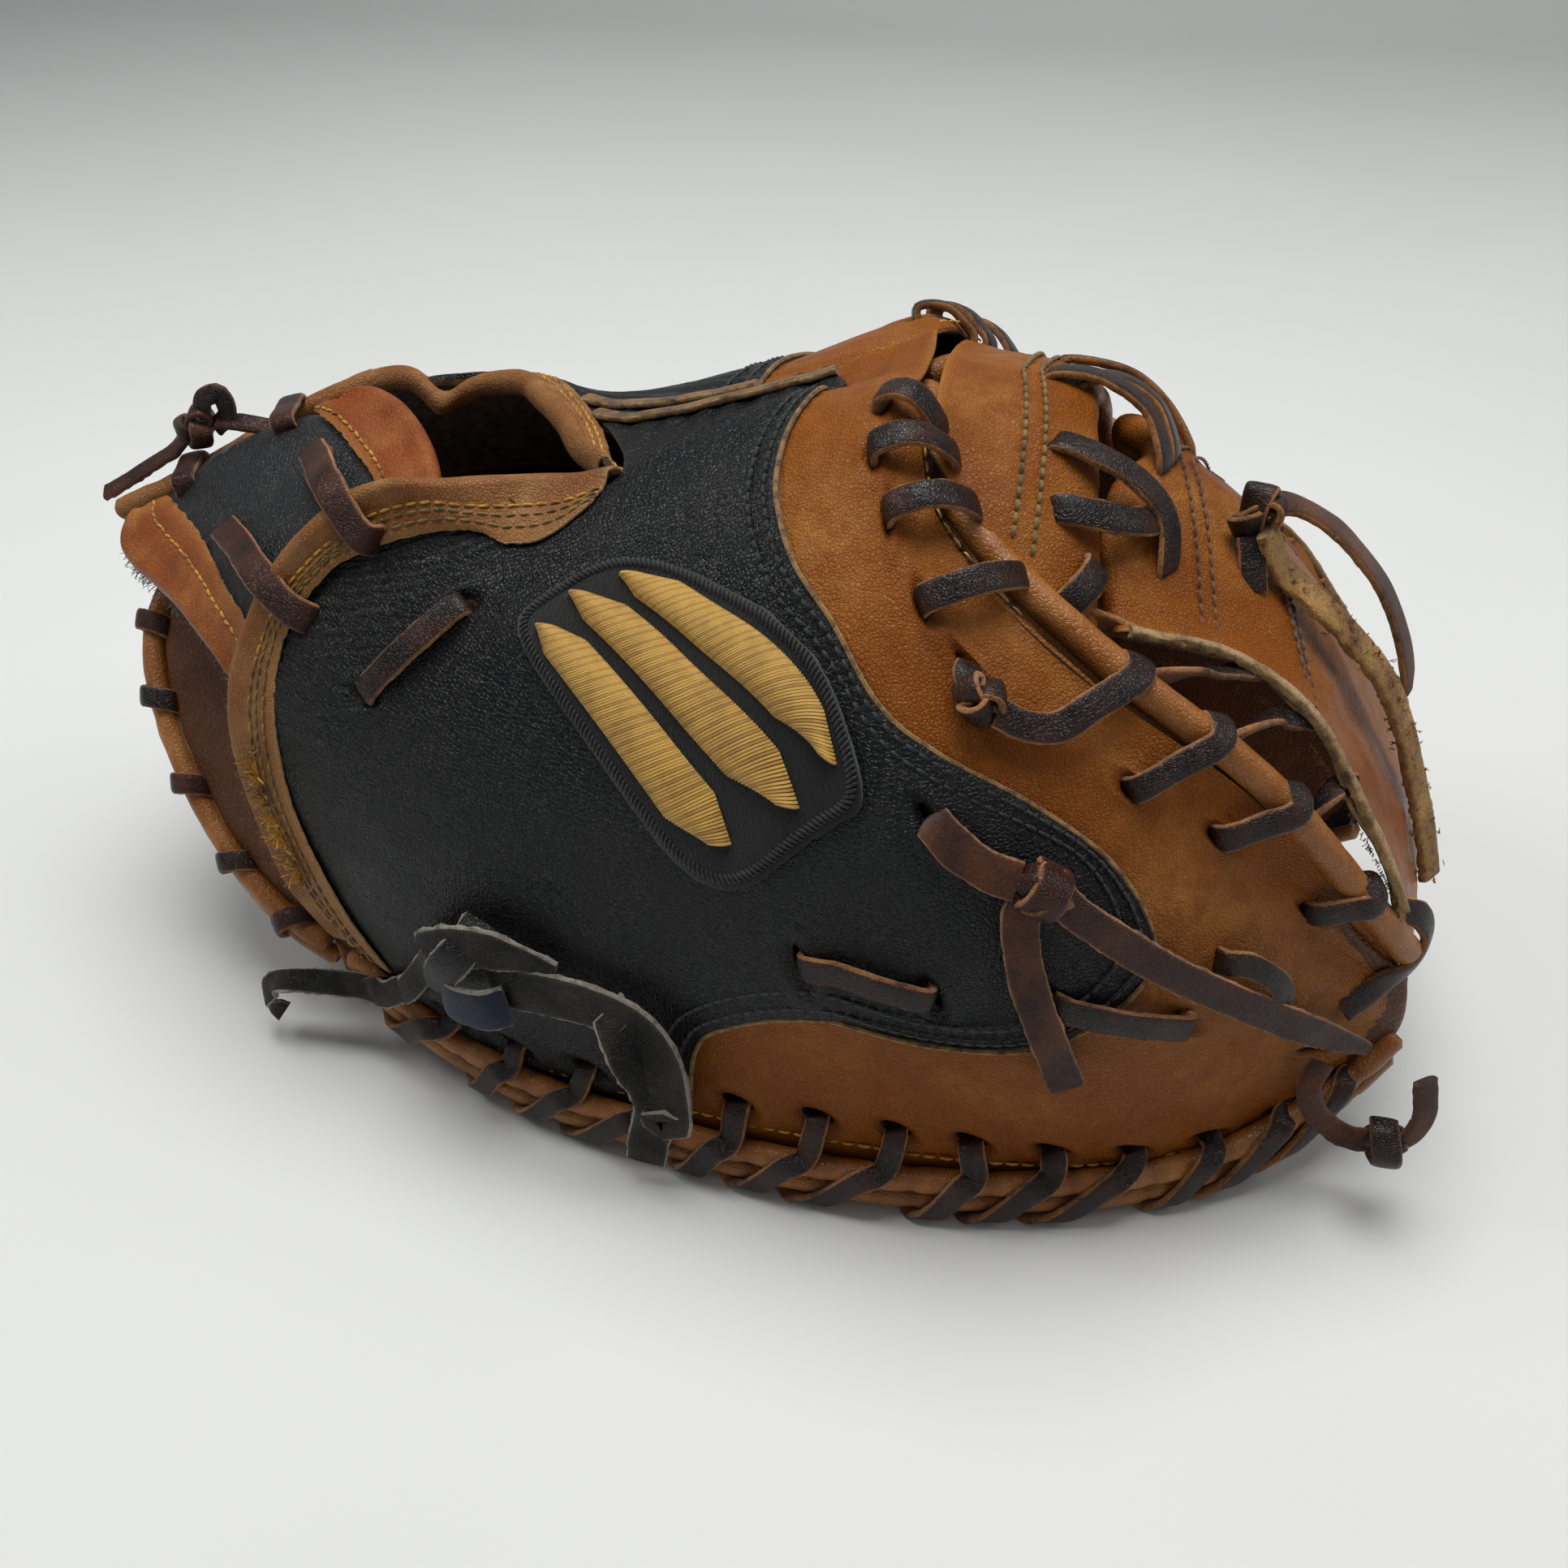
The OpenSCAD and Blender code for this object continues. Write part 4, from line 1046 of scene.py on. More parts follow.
def binding(build, inner, outer, up, r, fray, seed, wave=0.0, rows=((0.42, 2), (0.66, 2)), fat=1.25):
    """Leather folded over an edge: a flat sewn band from the inner line to a roll on the outer line.
    Each stitch row has its share of the way across and its thread's material number."""
    t, length = even_path(outer, 1.3)
    a, b, n = curve(inner, t), curve(outer, t), unit(curve(up, t))
    b = b + n * (wave * np.sin(length * t / 9.0 + seed))[:, None]
    e = unit(b - a)
    n = unit(n - e * (n * e).sum(-1, keepdims=True))
    a = a - e * ((rough(a, 2.2, seed) + rough(a, 0.9, seed + 3)) * fray)[:, None]
    pull = 0.25 * np.sin(length * t / 2.6) + 0.5 * rough(a, 5.0, seed + 5)
    lines = [a + n * fat]
    for share in np.linspace(0.12, 0.86, 9):
        dip = sum(bell(share - row, 0.07) for row, _ in rows) * 0.45
        lines.append(lerp(a, b - e * r * 0.5, share) + n * (fat + 0.5 * swell(share) - dip))
    for angle in np.linspace(100, -130, 12):
        lines.append(b + turned(angle, e, n) * (r + 0.18 * pull[:, None]))
    lines.append(lerp(a, b, 0.3) - n * r)
    p = np.stack(lines, 1)
    soil = np.clip(0.4 + rough(p, 11.0, seed + 8), 0, 1)
    tone = np.stack([soil, 0.5 * np.clip(rough(p, 6.0, seed + 9), 0, 1)], -1)
    shell(build, p, 1.2, tone=tone, flip=facing(p, n))
    for share, number in rows:
        line = lerp(a, b - e * r * 0.5, share) + n * (fat + 0.25)
        stitches(build, line, n, pitch=3.1, length=2.5, r=0.36, number=number)


def facing(p, n):
    """Whether a grid has to be turned over for its outer face to look along n."""
    return bool((grid_normals(p)[:, 2] * n).sum(-1).mean() < 0)


def fibres(build, roots, away, count, length=2.0, seed=5, number=0, r=0.09):
    """Loose fibres standing out from a worn edge."""
    rng = np.random.default_rng(seed)
    away = np.broadcast_to(away, roots.shape)
    pick = rng.integers(0, len(roots), count)
    bend = rng.normal(0, 0.6, (count, 2, 3))
    size = length * rng.uniform(0.3, 1.0, count)
    for k, i in enumerate(pick):
        d = unit(away[i] + bend[k, 0] * 0.8)
        mid = roots[i] + d * size[k] * 0.5
        tip = mid + unit(d + bend[k, 1]) * size[k] * 0.5
        strand(build, np.array([roots[i] - d * 0.3, mid, tip]), r, number, sides=3)


NEAR_BIND_IN = [(0.262, 0.215), (0.238, 0.242), (0.20, 0.215), (0.15, 0.15), (0.107, 0.11), (0.057, 0.115),
                (0.033, 0.19), (0.034, 0.3), (0.038, 0.4), (0.05, 0.52), (0.06, 0.63), (0.075, 0.73),
                (0.083, 0.82), (0.088, 0.9)]
NEAR_BIND_OUT = [(-31, -31, 144), (-40, -30, 141), (-52, -31, 140), (-65, -35, 140), (-76, -38, 141),
                 (-87, -39, 137), (-97, -42, 129), (-106, -44, 119), (-112, -47, 108), (-117, -51, 94),
                 (-117, -55, 78), (-113, -58, 62), (-107, -61, 47), (-99, -60, 32)]
FAR_ROLL = [(-36, -21, 141), (-45, -12, 141), (-52, 0, 142), (-62, 14, 142), (-71, 25, 141), (-82, 30, 138),
            (-89, 31, 135), (-96, 30, 132), (-104, 32, 137), (-113, 32, 136), (-123, 30, 132),
            (-136, 27, 126), (-146, 23, 120), (-156, 18, 115), (-166, 14, 110), (-182, 10, 103)]
OPENING_MIDDLE = (-92, 2, 124)


def build_bindings():
    """The bound edges around the hand opening and down the wrist."""
    b = Build("binding", "raw", "thread_olive", "thread_gold")
    u, v = np.array(NEAR_BIND_IN).T
    inner, outer = THUMB.skin(u, v), np.array(NEAR_BIND_OUT)
    binding(b, inner, outer, THUMB.normal(u, v), r=2.9, fray=0.3, seed=2,
            rows=((0.3, 2), (0.52, 2), (0.7, 3)))
    worn = curve(lerp(inner, outer, 0.55), np.linspace(0.74, 0.9, 60)) + [-1.2, -2.0, 1.0]
    fibres(b, worn, (-0.4, -0.6, 0.3), 150, 5.0, seed=3, number=3, r=0.2)
    worn = curve(outer, np.linspace(0.66, 0.94, 90)) + [-2.2, 0.5, -0.8]
    fibres(b, worn, (-0.9, -0.2, -0.4), 300, 2.8, seed=4, number=1, r=0.11)
    b.finish("thumb_opening_binding", "thumb_side", "thumb_wrist_binding")
    b = Build("binding", "raw", "thread_olive", "thread_gold")
    roll = np.array(FAR_ROLL, float)
    away = unit((roll - OPENING_MIDDLE) * [1, 1, 0.2])
    inner = roll + away * 8.5 - [0, 0, 2.5]
    up = np.array([0.1, 0.25, 1.0]) + away * 0.25
    binding(b, inner[:11], roll[:11], up[:11], r=3.1, fray=0.35, seed=7, wave=0.3,
            rows=((0.35, 3), (0.62, 3)))
    tube(b, roll[9:], lambda t: 3.2 - 0.2 * t, lumps=0.5)
    b.finish("finger_opening_binding", bend=CUFF_BEND)
    b = Build("binding", "raw", "thread_olive", "thread_gold")
    v = np.array([0.06, 0.2, 0.35, 0.5, 0.65, 0.8, 0.9])
    edge = FINGER.skin(0.0 * v, v)
    binding(b, FINGER.skin(0.04 + 0.03 * v, v), edge + (edge - FINGER.skin(0.03 + 0 * v, v)) * 0.6,
            FINGER.normal(0.02 + 0 * v, v), r=2.8, fray=0.3, seed=12, fat=2.6)
    b.finish("finger_wrist_edge_binding", "finger_side", "finger_wrist_binding")


# ---- Saddle of leather over the crotch of the hand

def saddle(build, thumb_u, finger_u, out, rise=0.75):
    """Leather that arches from the thumb back to the finger back between two u on each; its points."""
    k = np.linspace(0, 1, 30)
    w = np.linspace(0, 1, 26)[None, :, None]
    ut, uf = curve(thumb_u, k), curve(finger_u, k)
    a, b = THUMB.skin(ut, 0.012, out), FINGER.skin(uf, 0.012, out)
    ta = unit(a - THUMB.skin(ut, 0.06, out))
    tb = unit(b - FINGER.skin(uf, 0.06, out))
    chord = np.linalg.norm(b - a, axis=-1, keepdims=True) * rise
    a, b, ta, tb = [x[:, None] for x in (a, b, ta * chord, tb * chord)]
    p = ((2 * w ** 3 - 3 * w ** 2 + 1) * a + (w ** 3 - 2 * w ** 2 + w) * ta
         + (3 * w ** 2 - 2 * w ** 3) * b - (w ** 3 - w ** 2) * tb)
    lift = 0.5 * rough(p, 9.0, 6.0) + 0.25 * np.sin(p[..., 0] * 0.9 + 2 * rough(p, 12.0, 1.0))
    wear = np.stack([0.3 * np.clip(rough(p, 12.0), 0, 1), 0 * lift], -1)
    shell(build, p, 1.5, lift, inside=0, tone=wear, flip=facing(p, np.array([0, 0, 1.0])))
    return p


def build_saddle():
    """The leather over the crotch of the hand, black and tan, and its two welts."""
    b = Build("black")
    black = saddle(b, [0.2, 0.27, 0.34, 0.41], [0.27, 0.33, 0.38, 0.43], -0.5)
    b.finish("crotch_saddle_black", bend=SADDLE_BEND)
    b = Build("tan")
    saddle(b, [0.385, 0.42, 0.46, 0.5], [0.41, 0.44, 0.47, 0.5], -1.9)
    b.finish("crotch_saddle_tan", bend=SADDLE_BEND)
    b = Build("raw", "black_raw")
    up = np.array([-0.15, 0.1, 1.0])
    for line in ([(0.0, 0.72), (0.35, 0.66), (0.7, 0.60), (1.0, 0.55)],
                 [(0.0, 0.98), (0.25, 0.95), (0.5, 0.9), (0.72, 0.88)]):
        i, j = (curve(line, np.linspace(0, 1, 9)) * [29, 25]).round().astype(int).T
        ribbon(b, black[i, j] + up * 0.9, up, width=3.8, thick=1.8, grain=1, side_mat=0, fray=0.3)
    b.finish("finger_back_welts", node="ridge_welt", bend=SADDLE_BEND)


# ---- Strap

STRAP_WRIST = [(-117, -44, 104), (-130, -31, 107), (-141, -18, 109), (-153, -6, 110), (-164, 5, 109),
               (-170, 13, 106)]
STRAP_OPEN = [(-82, -30, 131), (-90, -20, 134), (-98, -11, 135), (-107, -2, 137), (-116, 7, 136),
              (-122, 15, 133)]
STRAP_LEFT = [(-121, -45, 93), (-128, -40, 97), (-140, -30, 100), (-152, -20, 100), (-164, -11, 100),
              (-171, -4, 102), (-172, 3, 106)]
STRAP_LOBE = [(-72, -33, 134), (-76, -24, 137), (-82, -14, 139), (-90, -4, 141), (-99, 4, 142),
              (-107, 9, 141), (-114, 9, 139)]


STRAP_UP = np.array([-0.3, -0.3, 0.9])


def near_strap_lace(build, start, end, high, seed):
    """A broad lace from the strap down over the opening's binding to a place on the thumb back."""
    a, z, n = np.array(start, float), THUMB.skin(*end), THUMB.normal(*end)
    d, rise = unit(z - a), unit(np.array([-0.3, -0.45, 0.85]))
    points = [a - rise * 3 - d * 0.5, a + rise * 1.2 + d * 0.6, lerp(a, z, 0.3) + rise * (3.2 + high * 0.6),
              lerp(a, z, 0.62) + rise * (5.0 + high) + n * 2.0,
              lerp(a, z, 0.88) + n * (3.6 + high * 0.7) + rise, z + n * 0.6, z - n * 4]
    ups = [-d, rise - d, rise, rise, n + rise * 0.4, n + d, d]
    ribbon(build, points, ups, width=7.4, seed=seed, fray=0.12)


def far_strap_lace(build, start, roll, seed):
    """A lace from the strap, over the roll on the far side of the opening."""
    a, c, z = np.array(start, float), np.array(roll, float), np.array([-0.2, 0.0, 1.0])
    d = unit(c - a)
    points = [a - z * 2.5, a + z * 1.5, lerp(a, c, 0.5) + z * 3.2, c + z * 4.5, c + d * 4.4,
              c + d * 2 - z * 5]
    ribbon(build, points, [-d, z - d * 0.5, z, z + d * 0.2, d, -z + d], width=6.2, seed=seed)


def build_strap():
    """The padded wrist strap: leather, two bound edges, fleece underneath and four laces."""
    t = np.linspace(0, 1, 60)
    w = np.linspace(0, 1, 40)[None, :, None]
    p = lerp(curve(STRAP_WRIST, t)[:, None], curve(STRAP_OPEN, t)[:, None], w)
    p = p + np.array([-0.35, -0.3, 0.85]) * (4.2 * np.sin(np.pi * w))
    lift = 0.5 * rough(p, 11.0, 2.0) + 0.25 * rough(p, 4.0, 7.0)
    tone = np.stack([0.5 * np.clip(rough(p, 9.0, 3.0), 0, 1), 0 * lift], -1)
    b = Build("strap", "black_raw")
    shell(b, p, 1.8, lift, tone=tone, flip=facing(p, STRAP_UP))
    b.finish("wrist_strap_leather", node="wrist_strap", bend=PALM_BEND)
    b = Build("lobe", "raw", "thread_gold")
    ups = np.broadcast_to([-0.35, -0.35, 0.9], (7, 3))
    edge = curve(STRAP_WRIST, np.linspace(0, 0.86, 7)) + [1.5, 0.5, 1.2]
    binding(b, edge, STRAP_LEFT, ups, r=2.2, fray=0.5, seed=21, rows=((0.42, 2),))
    edge = curve(STRAP_OPEN, np.linspace(0, 0.84, 7)) + [-2.0, -0.5, 0.3]
    binding(b, edge, STRAP_LOBE, ups + [0.5, 0.2, 0], r=2.6, fray=0.3, seed=27, rows=((0.22, 2),))
    b.finish("wrist_strap_bindings", bend=PALM_BEND)
    b = Build("fleece")
    q = p - STRAP_UP * 3.2
    q = lerp(q.mean(1, keepdims=True), q, 1.06)
    nap = 0.7 * rough(q, 1.3, 2.0) + 0.5 * rough(q, 3.4, 6.0)
    shell(b, q, 3.0, nap, inside=0, flip=facing(q, STRAP_UP))
    left = curve(STRAP_LEFT, np.linspace(0.05, 0.95, 80))
    fibres(b, left + [0, 0, -2.0], (-0.5, -0.4, -0.7), 260, 4.0, seed=8)
    b.finish("wrist_strap_fleece", node="strap_lining", bend=PALM_BEND)
    b = Build("lace_red", "lace_edge")
    near_strap_lace(b, (-109, -14, 136), (0.026, 0.085), 4.0, 60)
    near_strap_lace(b, (-131, -22, 118), (0.046, 0.32), 0.6, 61)
    b.finish("strap_laces_near", node="strap_laces_thumb", bend=PALM_BEND)
    b = Build("lace_red", "lace_edge")
    far_strap_lace(b, (-126, 4, 134), (-134, 26, 127), 70)
    far_strap_lace(b, (-156, 3, 116), (-160, 17, 113), 71)
    b.finish("strap_laces_far", "finger_side", "strap_laces_finger")


# ---- Heel

def build_heel():
    """The two rolls around the heel and the lace wound around them."""
    b = Build("roll")
    s = np.linspace(-0.94, 0.94, 90)
    out = heel_out(s)
    mid = heel(s) + out * (ROLL_R + 1.6)
    tube(b, mid, ROLL_R, lumps=0.3)
    tube(b, mid - out * 1.6 - [0, 0, 5.6], ROLL_R * 0.9, lumps=0.3)
    b.finish("heel_piping", node="heel_roll", bend=PALM_BEND)
    b = Build("lace", "lace_edge", "lace_red")
    for k, s in enumerate(np.linspace(-0.86, 0.86, 11)):
        run = unit(heel(np.array(s + 0.01)) - heel(np.array(s - 0.01)))
        out = heel_out(np.array(s))
        up = np.cross(out, run)
        up = up if up[2] > 0 else -up
        c = heel(np.array(s)) + out * (ROLL_R + 1.6)
        points, ups = [], []
        for turn in np.linspace(200, -150, 10):
            ups.append(turned(turn, out, up))
            low = max(0.0, -math.sin(math.radians(turn))) * 4.0
            points.append(c + ups[-1] * (ROLL_R + 1.1) + run * (2.5 - turn / 70) - up * low)
        ribbon(b, points, ups, width=5.4, seed=90 + k, grain=0 if k % 2 else 2)
    b.finish("heel_whip_lace", node="heel_lace", bend=PALM_BEND)


# ---- Pocket, pads and lining

POCKET_TOP = -0.012     # v where the palm leather starts, a little over the crease


def build_pocket():
    """The palm leather of each half, creased along the fold and soiled in the pocket."""
    for side in (THUMB, FINGER):
        u = np.linspace(0.0, TIP_END, 120)[:, None]
        v = np.linspace(POCKET_TOP, 0.965, 60)[None, :]
        p = side.lining(u, v)
        crease = bell(v, 0.08) * np.sin(u * 60 + 2 * rough(p, 30.0, 2.0)) * 0.4
        lift = crease + 0.9 * rough(p, 30.0, 4.0) + 0.3 * rough(p, 8.0, 3.0)
        lift = lift * np.clip((0.96 - v) / 0.06, 0, 1) * np.clip((v - POCKET_TOP) / 0.03, 0, 1)
        wear = np.clip(0.3 + rough(p, 22.0, 8.0), 0, 1)
        soil = 0.9 * bell(u - 0.5, 0.16) * bell(v - 0.35, 0.3) * np.clip(0.6 + rough(p, 14.0, 1.0), 0, 1)
        b = Build("palm", "liner", "thread_brown")
        down = side.lining(0.5, 0.5) - side.lining(0.5, 0.5, 1.0)
        shell(b, p, 2.2, lift, tone=np.stack([wear, soil], -1), flip=facing(p[40:60], down))
        if side is THUMB:
            tube(b, side.lining(np.linspace(0.01, 0.44, 40), 0.0, 0.4), 1.5, sides=10, lumps=0.2)
        x = np.linspace(0.03, 0.96, 240)
        for row in (0.9, 0.925):
            stitches(b, side.lining(x, row, -0.1), side.lining(x, row, -1.0) - side.lining(x, row),
                     pitch=3.4, length=2.8, r=0.36, number=2)
        b.finish(f"palm_leather_{side.name}", node=f"palm_leather_{side.name}_half", bend=PALM_BEND)


def pad_top(j):
    """How far up between the leathers the padding reaches."""
    return lerp(0.38, 0.82, swell(j * 0.75, 2))


def solid(build, low, high):
    """A closed soft form between two grids, rounded in towards its own middle at the edges."""
    n, m = low.shape[:2]
    i, j = np.linspace(-1, 1, n)[:, None], np.linspace(-1, 1, m)[None, :]
    full = (np.sqrt(np.clip(1 - np.maximum(np.abs(i), np.abs(j)) ** 8, 0, 1)))[..., None]
    mid = (low + high) / 2
    low, high = lerp(mid, low, full), lerp(mid, high, full)
    lumps = 0.35 * rough(high, 9.0, 3.0) + 0.15 * rough(high, 2.5)
    high = high + unit(high - low + 1e-6) * lumps[..., None]
    sheet(build, high, low, facing(high, unit(high - low)[:, m // 2]))


def build_stall():
    """Inside each half: the felt pad, the soft lining and the loop for the thumb or little finger."""
    for side, loop in ((THUMB, "thumb_loop"), (FINGER, "pinky_loop")):
        i, j = np.linspace(0, 1, 70)[:, None], np.linspace(0, 1, 40)[None, :]
        u, v = lerp(0.1, 0.9, i), lerp(0.2, 0.82, j)
        b = Build("pad")
        solid(b, side.core(u, v, 0.03 + 0 * u * v), side.core(u, v, pad_top(j) + 0 * u))
        b.finish(side.name + "_felt_padding", side.body, side.name + "_pad")
        u, v = lerp(0.1, 0.5, i), lerp(0.2, 0.6, j)
        top = pad_top(j * 0.65) + 0.09 + 0 * u
        b = Build("liner")
        solid(b, side.core(u, v, top), side.core(u, v, top + 0.05))
        b.finish(side.name + "_stall_lining", side.body, side.name + "_liner")
        x = np.linspace(0, 1, 9)
        path = side.core(lerp(0.55, 0.7, x), 0.3, 0.76 - 0.1 * swell(x))
        wide = side.core(0.55, 0.5, 0.7) - side.core(0.55, 0.2, 0.8)
        b = Build("liner", "back")
        ribbon(b, path, np.cross(path[-1] - path[0], wide), width=12, thick=2)
        b.finish(loop + "_leather", side.body, loop)


# ---- Web

def folded(s0, s1, t, r, at_start, tuck=14.0):
    """Grid of a web piece: flat from s0 to s1, with a tube folded under at its start or its end."""
    rows = [web(lerp(s0, s1, k), t) for k in np.linspace(0, 1, 46)]
    s, inner = (s0, s0 + 0.02) if at_start else (s1, s1 - 0.02)
    last, up, out = web(s, t), web_up(s, t), unit(web(s, t) - web(inner, t))
    fold = [last + out * (r * math.sin(a)) + up * (r * (math.cos(a) - 1))
            for a in np.radians(np.linspace(15, 200, 13))]
    fold.append(last - up * 2 * r - out * tuck)
    return np.stack(fold[::-1] + rows if at_start else rows + fold, 0)


def base_end(t):
    """Where the lower web piece ends along the web."""
    return 0.178 + 0.095 * np.abs(t) ** 1.5


def top_start(t):
    """Where the upper web piece starts along the web."""
    return base_end(t) + 0.012 + 0.07 * bell(t, 0.36)


# Laces between the two web pieces: places on the web with their height
WEB_JOINS = [[(0.145, -0.445, 0.8), (0.215, -0.47, 4.8), (0.283, -0.515, 4.2), (0.318, -0.665, 0.6)],
             [(0.165, -0.70, 0.8), (0.215, -0.66, 4.0), (0.263, -0.585, 3.8), (0.297, -0.43, 0.6)],
             [(0.115, -0.005, 0.8), (0.165, -0.03, 3.6), (0.225, -0.07, 4.2), (0.275, -0.205, 0.8)],
             [(0.150, 0.0, 0.8), (0.19, 0.08, 3.8), (0.24, 0.05, 4.4), (0.285, -0.08, 0.8)],
             [(0.13, 0.36, 0.8), (0.2, 0.36, 5.0), (0.26, 0.32, 5.0), (0.32, 0.28, 0.6)],
             [(0.17, 0.62, 0.8), (0.21, 0.60, 4.4), (0.27, 0.56, 4.4), (0.33, 0.52, 0.6)],
             [(0.228, -0.80, 1.0), (0.217, -0.87, 3.4), (0.203, -0.95, 3.0), (0.195, -1.0, -1.5)]]


def build_web():
    """The two leather pieces of the web, their stitching and worn edges, and the laces that join them."""
    t = np.linspace(-1.0, 1.0, 90)
    up = np.array([0.2, 0.0, 1.0])
    b = Build("tan", "back", "thread_olive")
    p = folded(0 * t, base_end(t * 0.985) - 0.019, t * 0.985, 3.6, False)
    p += np.array([-0.1, 0, 1.0]) * (3.0 * np.abs(t) ** 7 * np.linspace(0, 1, len(p))[:, None])[..., None]
    lift = 0.6 * rough(p, 12.0, 2.0) + 0.3 * rough(p, 5.0, 3.0)
    tone = np.stack([np.clip(0.15 + rough(p, 18.0, 5.0), 0, 1), 0 * lift], -1)
    shell(b, p, 1.7, lift, tone=tone, flip=facing(p[:20], up))
    x = np.linspace(-0.9, 0.9, 200)
    for row in (0.086, 0.106):
        s = row + 0.05 * (np.abs(x) - 0.1) * (row / 0.1)
        stitches(b, web(s, x, 0.55), web_up(s, x), pitch=2.9, length=2.6, r=0.5, number=2)
    b.finish("web_base_leather", node="web_base", **WEB_BEND)
    b = Build("tan", "back", "thread_brown", "golden", "raw")
    p = folded(top_start(t) + 0.02, 0.97 + 0 * t, t, 3.8, True)
    row = np.arange(len(p))[:, None]
    along, across = row / row[-1], np.abs(t)[None, :]
    p += np.array([-0.1, 0, 1.0]) * (5.0 * np.abs(t) ** 7 * np.clip(3 - 3 * along, 0, 1))[..., None]
    lift = 0.7 * rough(p, 14.0, 8.0) + 0.3 * rough(p, 5.0, 1.0) + across ** 24 * np.sin(row * 0.55)
    lift += 0.35 * bell(across - 0.55, 0.2) * np.sin(row * 0.9)
    tone = np.stack([np.clip(0.15 + rough(p, 18.0, 7.0), 0, 1), 0 * lift], -1)
    shell(b, p, 1.9, lift, inside=4, tone=tone, flip=facing(p[20:], up))
    for edge in (0, -1):
        ribbon(b, p[14:56:3, edge], (0.0, 0.0, 1.0), width=2.4, thick=2.2, grain=4, side_mat=4, fray=0.5,
               seed=edge)
    x = np.linspace(-0.97, 0.97, 200)
    for low, high in ((0.29, 0.40), (0.312, 0.42), (0.42, 0.605), (0.44, 0.62)):
        s = lerp(low, high, np.abs(x))
        stitches(b, web(s, x, 0.5), web_up(s, x), pitch=3.0, length=2.6, r=0.42, number=2)
    s = np.linspace(0.29, 0.95, 160)
    for sign in (-1, 1):
        q = web(s, sign, -0.9)
        fibres(b, q, unit(q - web(s, sign * 0.94, -0.9)), 420, 1.7, seed=14 + sign, number=3, r=0.1)
    b.finish("web_top_leather", node="web_top", **WEB_BEND)
    b = Build("lace", "lace_edge")
    for k, places in enumerate(WEB_JOINS):
        s, x, out = np.array(places).T
        p, n = web(s, x, out), web_up(s, x)
        d = unit(p[-1] - p[0])
        points = np.vstack([p[0] - n[0] * 4, p, p[-1] - n[-1] * 4])
        ups = np.vstack([-d, n - d * np.linspace(0.7, -0.7, 4)[:, None], d])
        ribbon(b, points, ups, width=6.4, seed=110 + k, fray=0.26)
    b.finish("web_joining_laces", node="web_centre_lace", **WEB_BEND)


# ---- Laces laid on the back, knots and loose ends

def raised(side, places):
    """Points over the back, each given as u, v and height, and the ways up there."""
    u, v, height = np.array(places, float).T
    n = side.normal(u, v)
    return side.skin(u, v) + n * height[:, None], n


def laid(build, side, places, dive_in=True, dive_out=True, **options):
    """A lace over the back that may dive into a hole at either end."""
    p, n = raised(side, places)
    points, ups = list(p), list(n)
    if dive_in:
        d = unit(p[1] - p[0])
        ups[0] = n[0] - d * 0.9
        points.insert(0, p[0] - n[0] * 3.5 - d * 0.5)
        ups.insert(0, -d)
    if dive_out:
        d = unit(p[-1] - p[-2])
        ups[-1] = n[-1] + d * 0.9
        points.append(p[-1] - n[-1] * 3.5 + d * 0.5)
        ups.append(d)
    ribbon(build, points, ups, **options)


def knot(build, centre, axis, run, r=3.4, width=5.0, seed=0.0, thick=1.9, **options):
    """A pulled-tight overhand knot, as one lace wound about itself."""
    axis, run = unit(np.array(axis, float)), unit(np.array(run, float))
    side = np.cross(axis, run)
    a = np.linspace(0.25, 2 * np.pi - 0.1, 26)
    x = (np.sin(a) + 2 * np.sin(2 * a)) / 3
    y = (np.cos(a) - 2 * np.cos(2 * a)) / 3
    z = -np.sin(3 * a) / 1.6
    p = np.array(centre) + (x[:, None] * run * 1.15 + y[:, None] * side + z[:, None] * axis * 0.75) * r
    ups = unit(p - np.array(centre) + axis * 0.6)
    ribbon(build, p, ups, width=width, thick=thick, seed=seed, step=0.7, **options)


# Height of a laid lace at places along its run
RUN_HEIGHTS = ((0.04, 0.9), (0.3, 1.9), (0.6, 2.0), (0.96, 0.9))


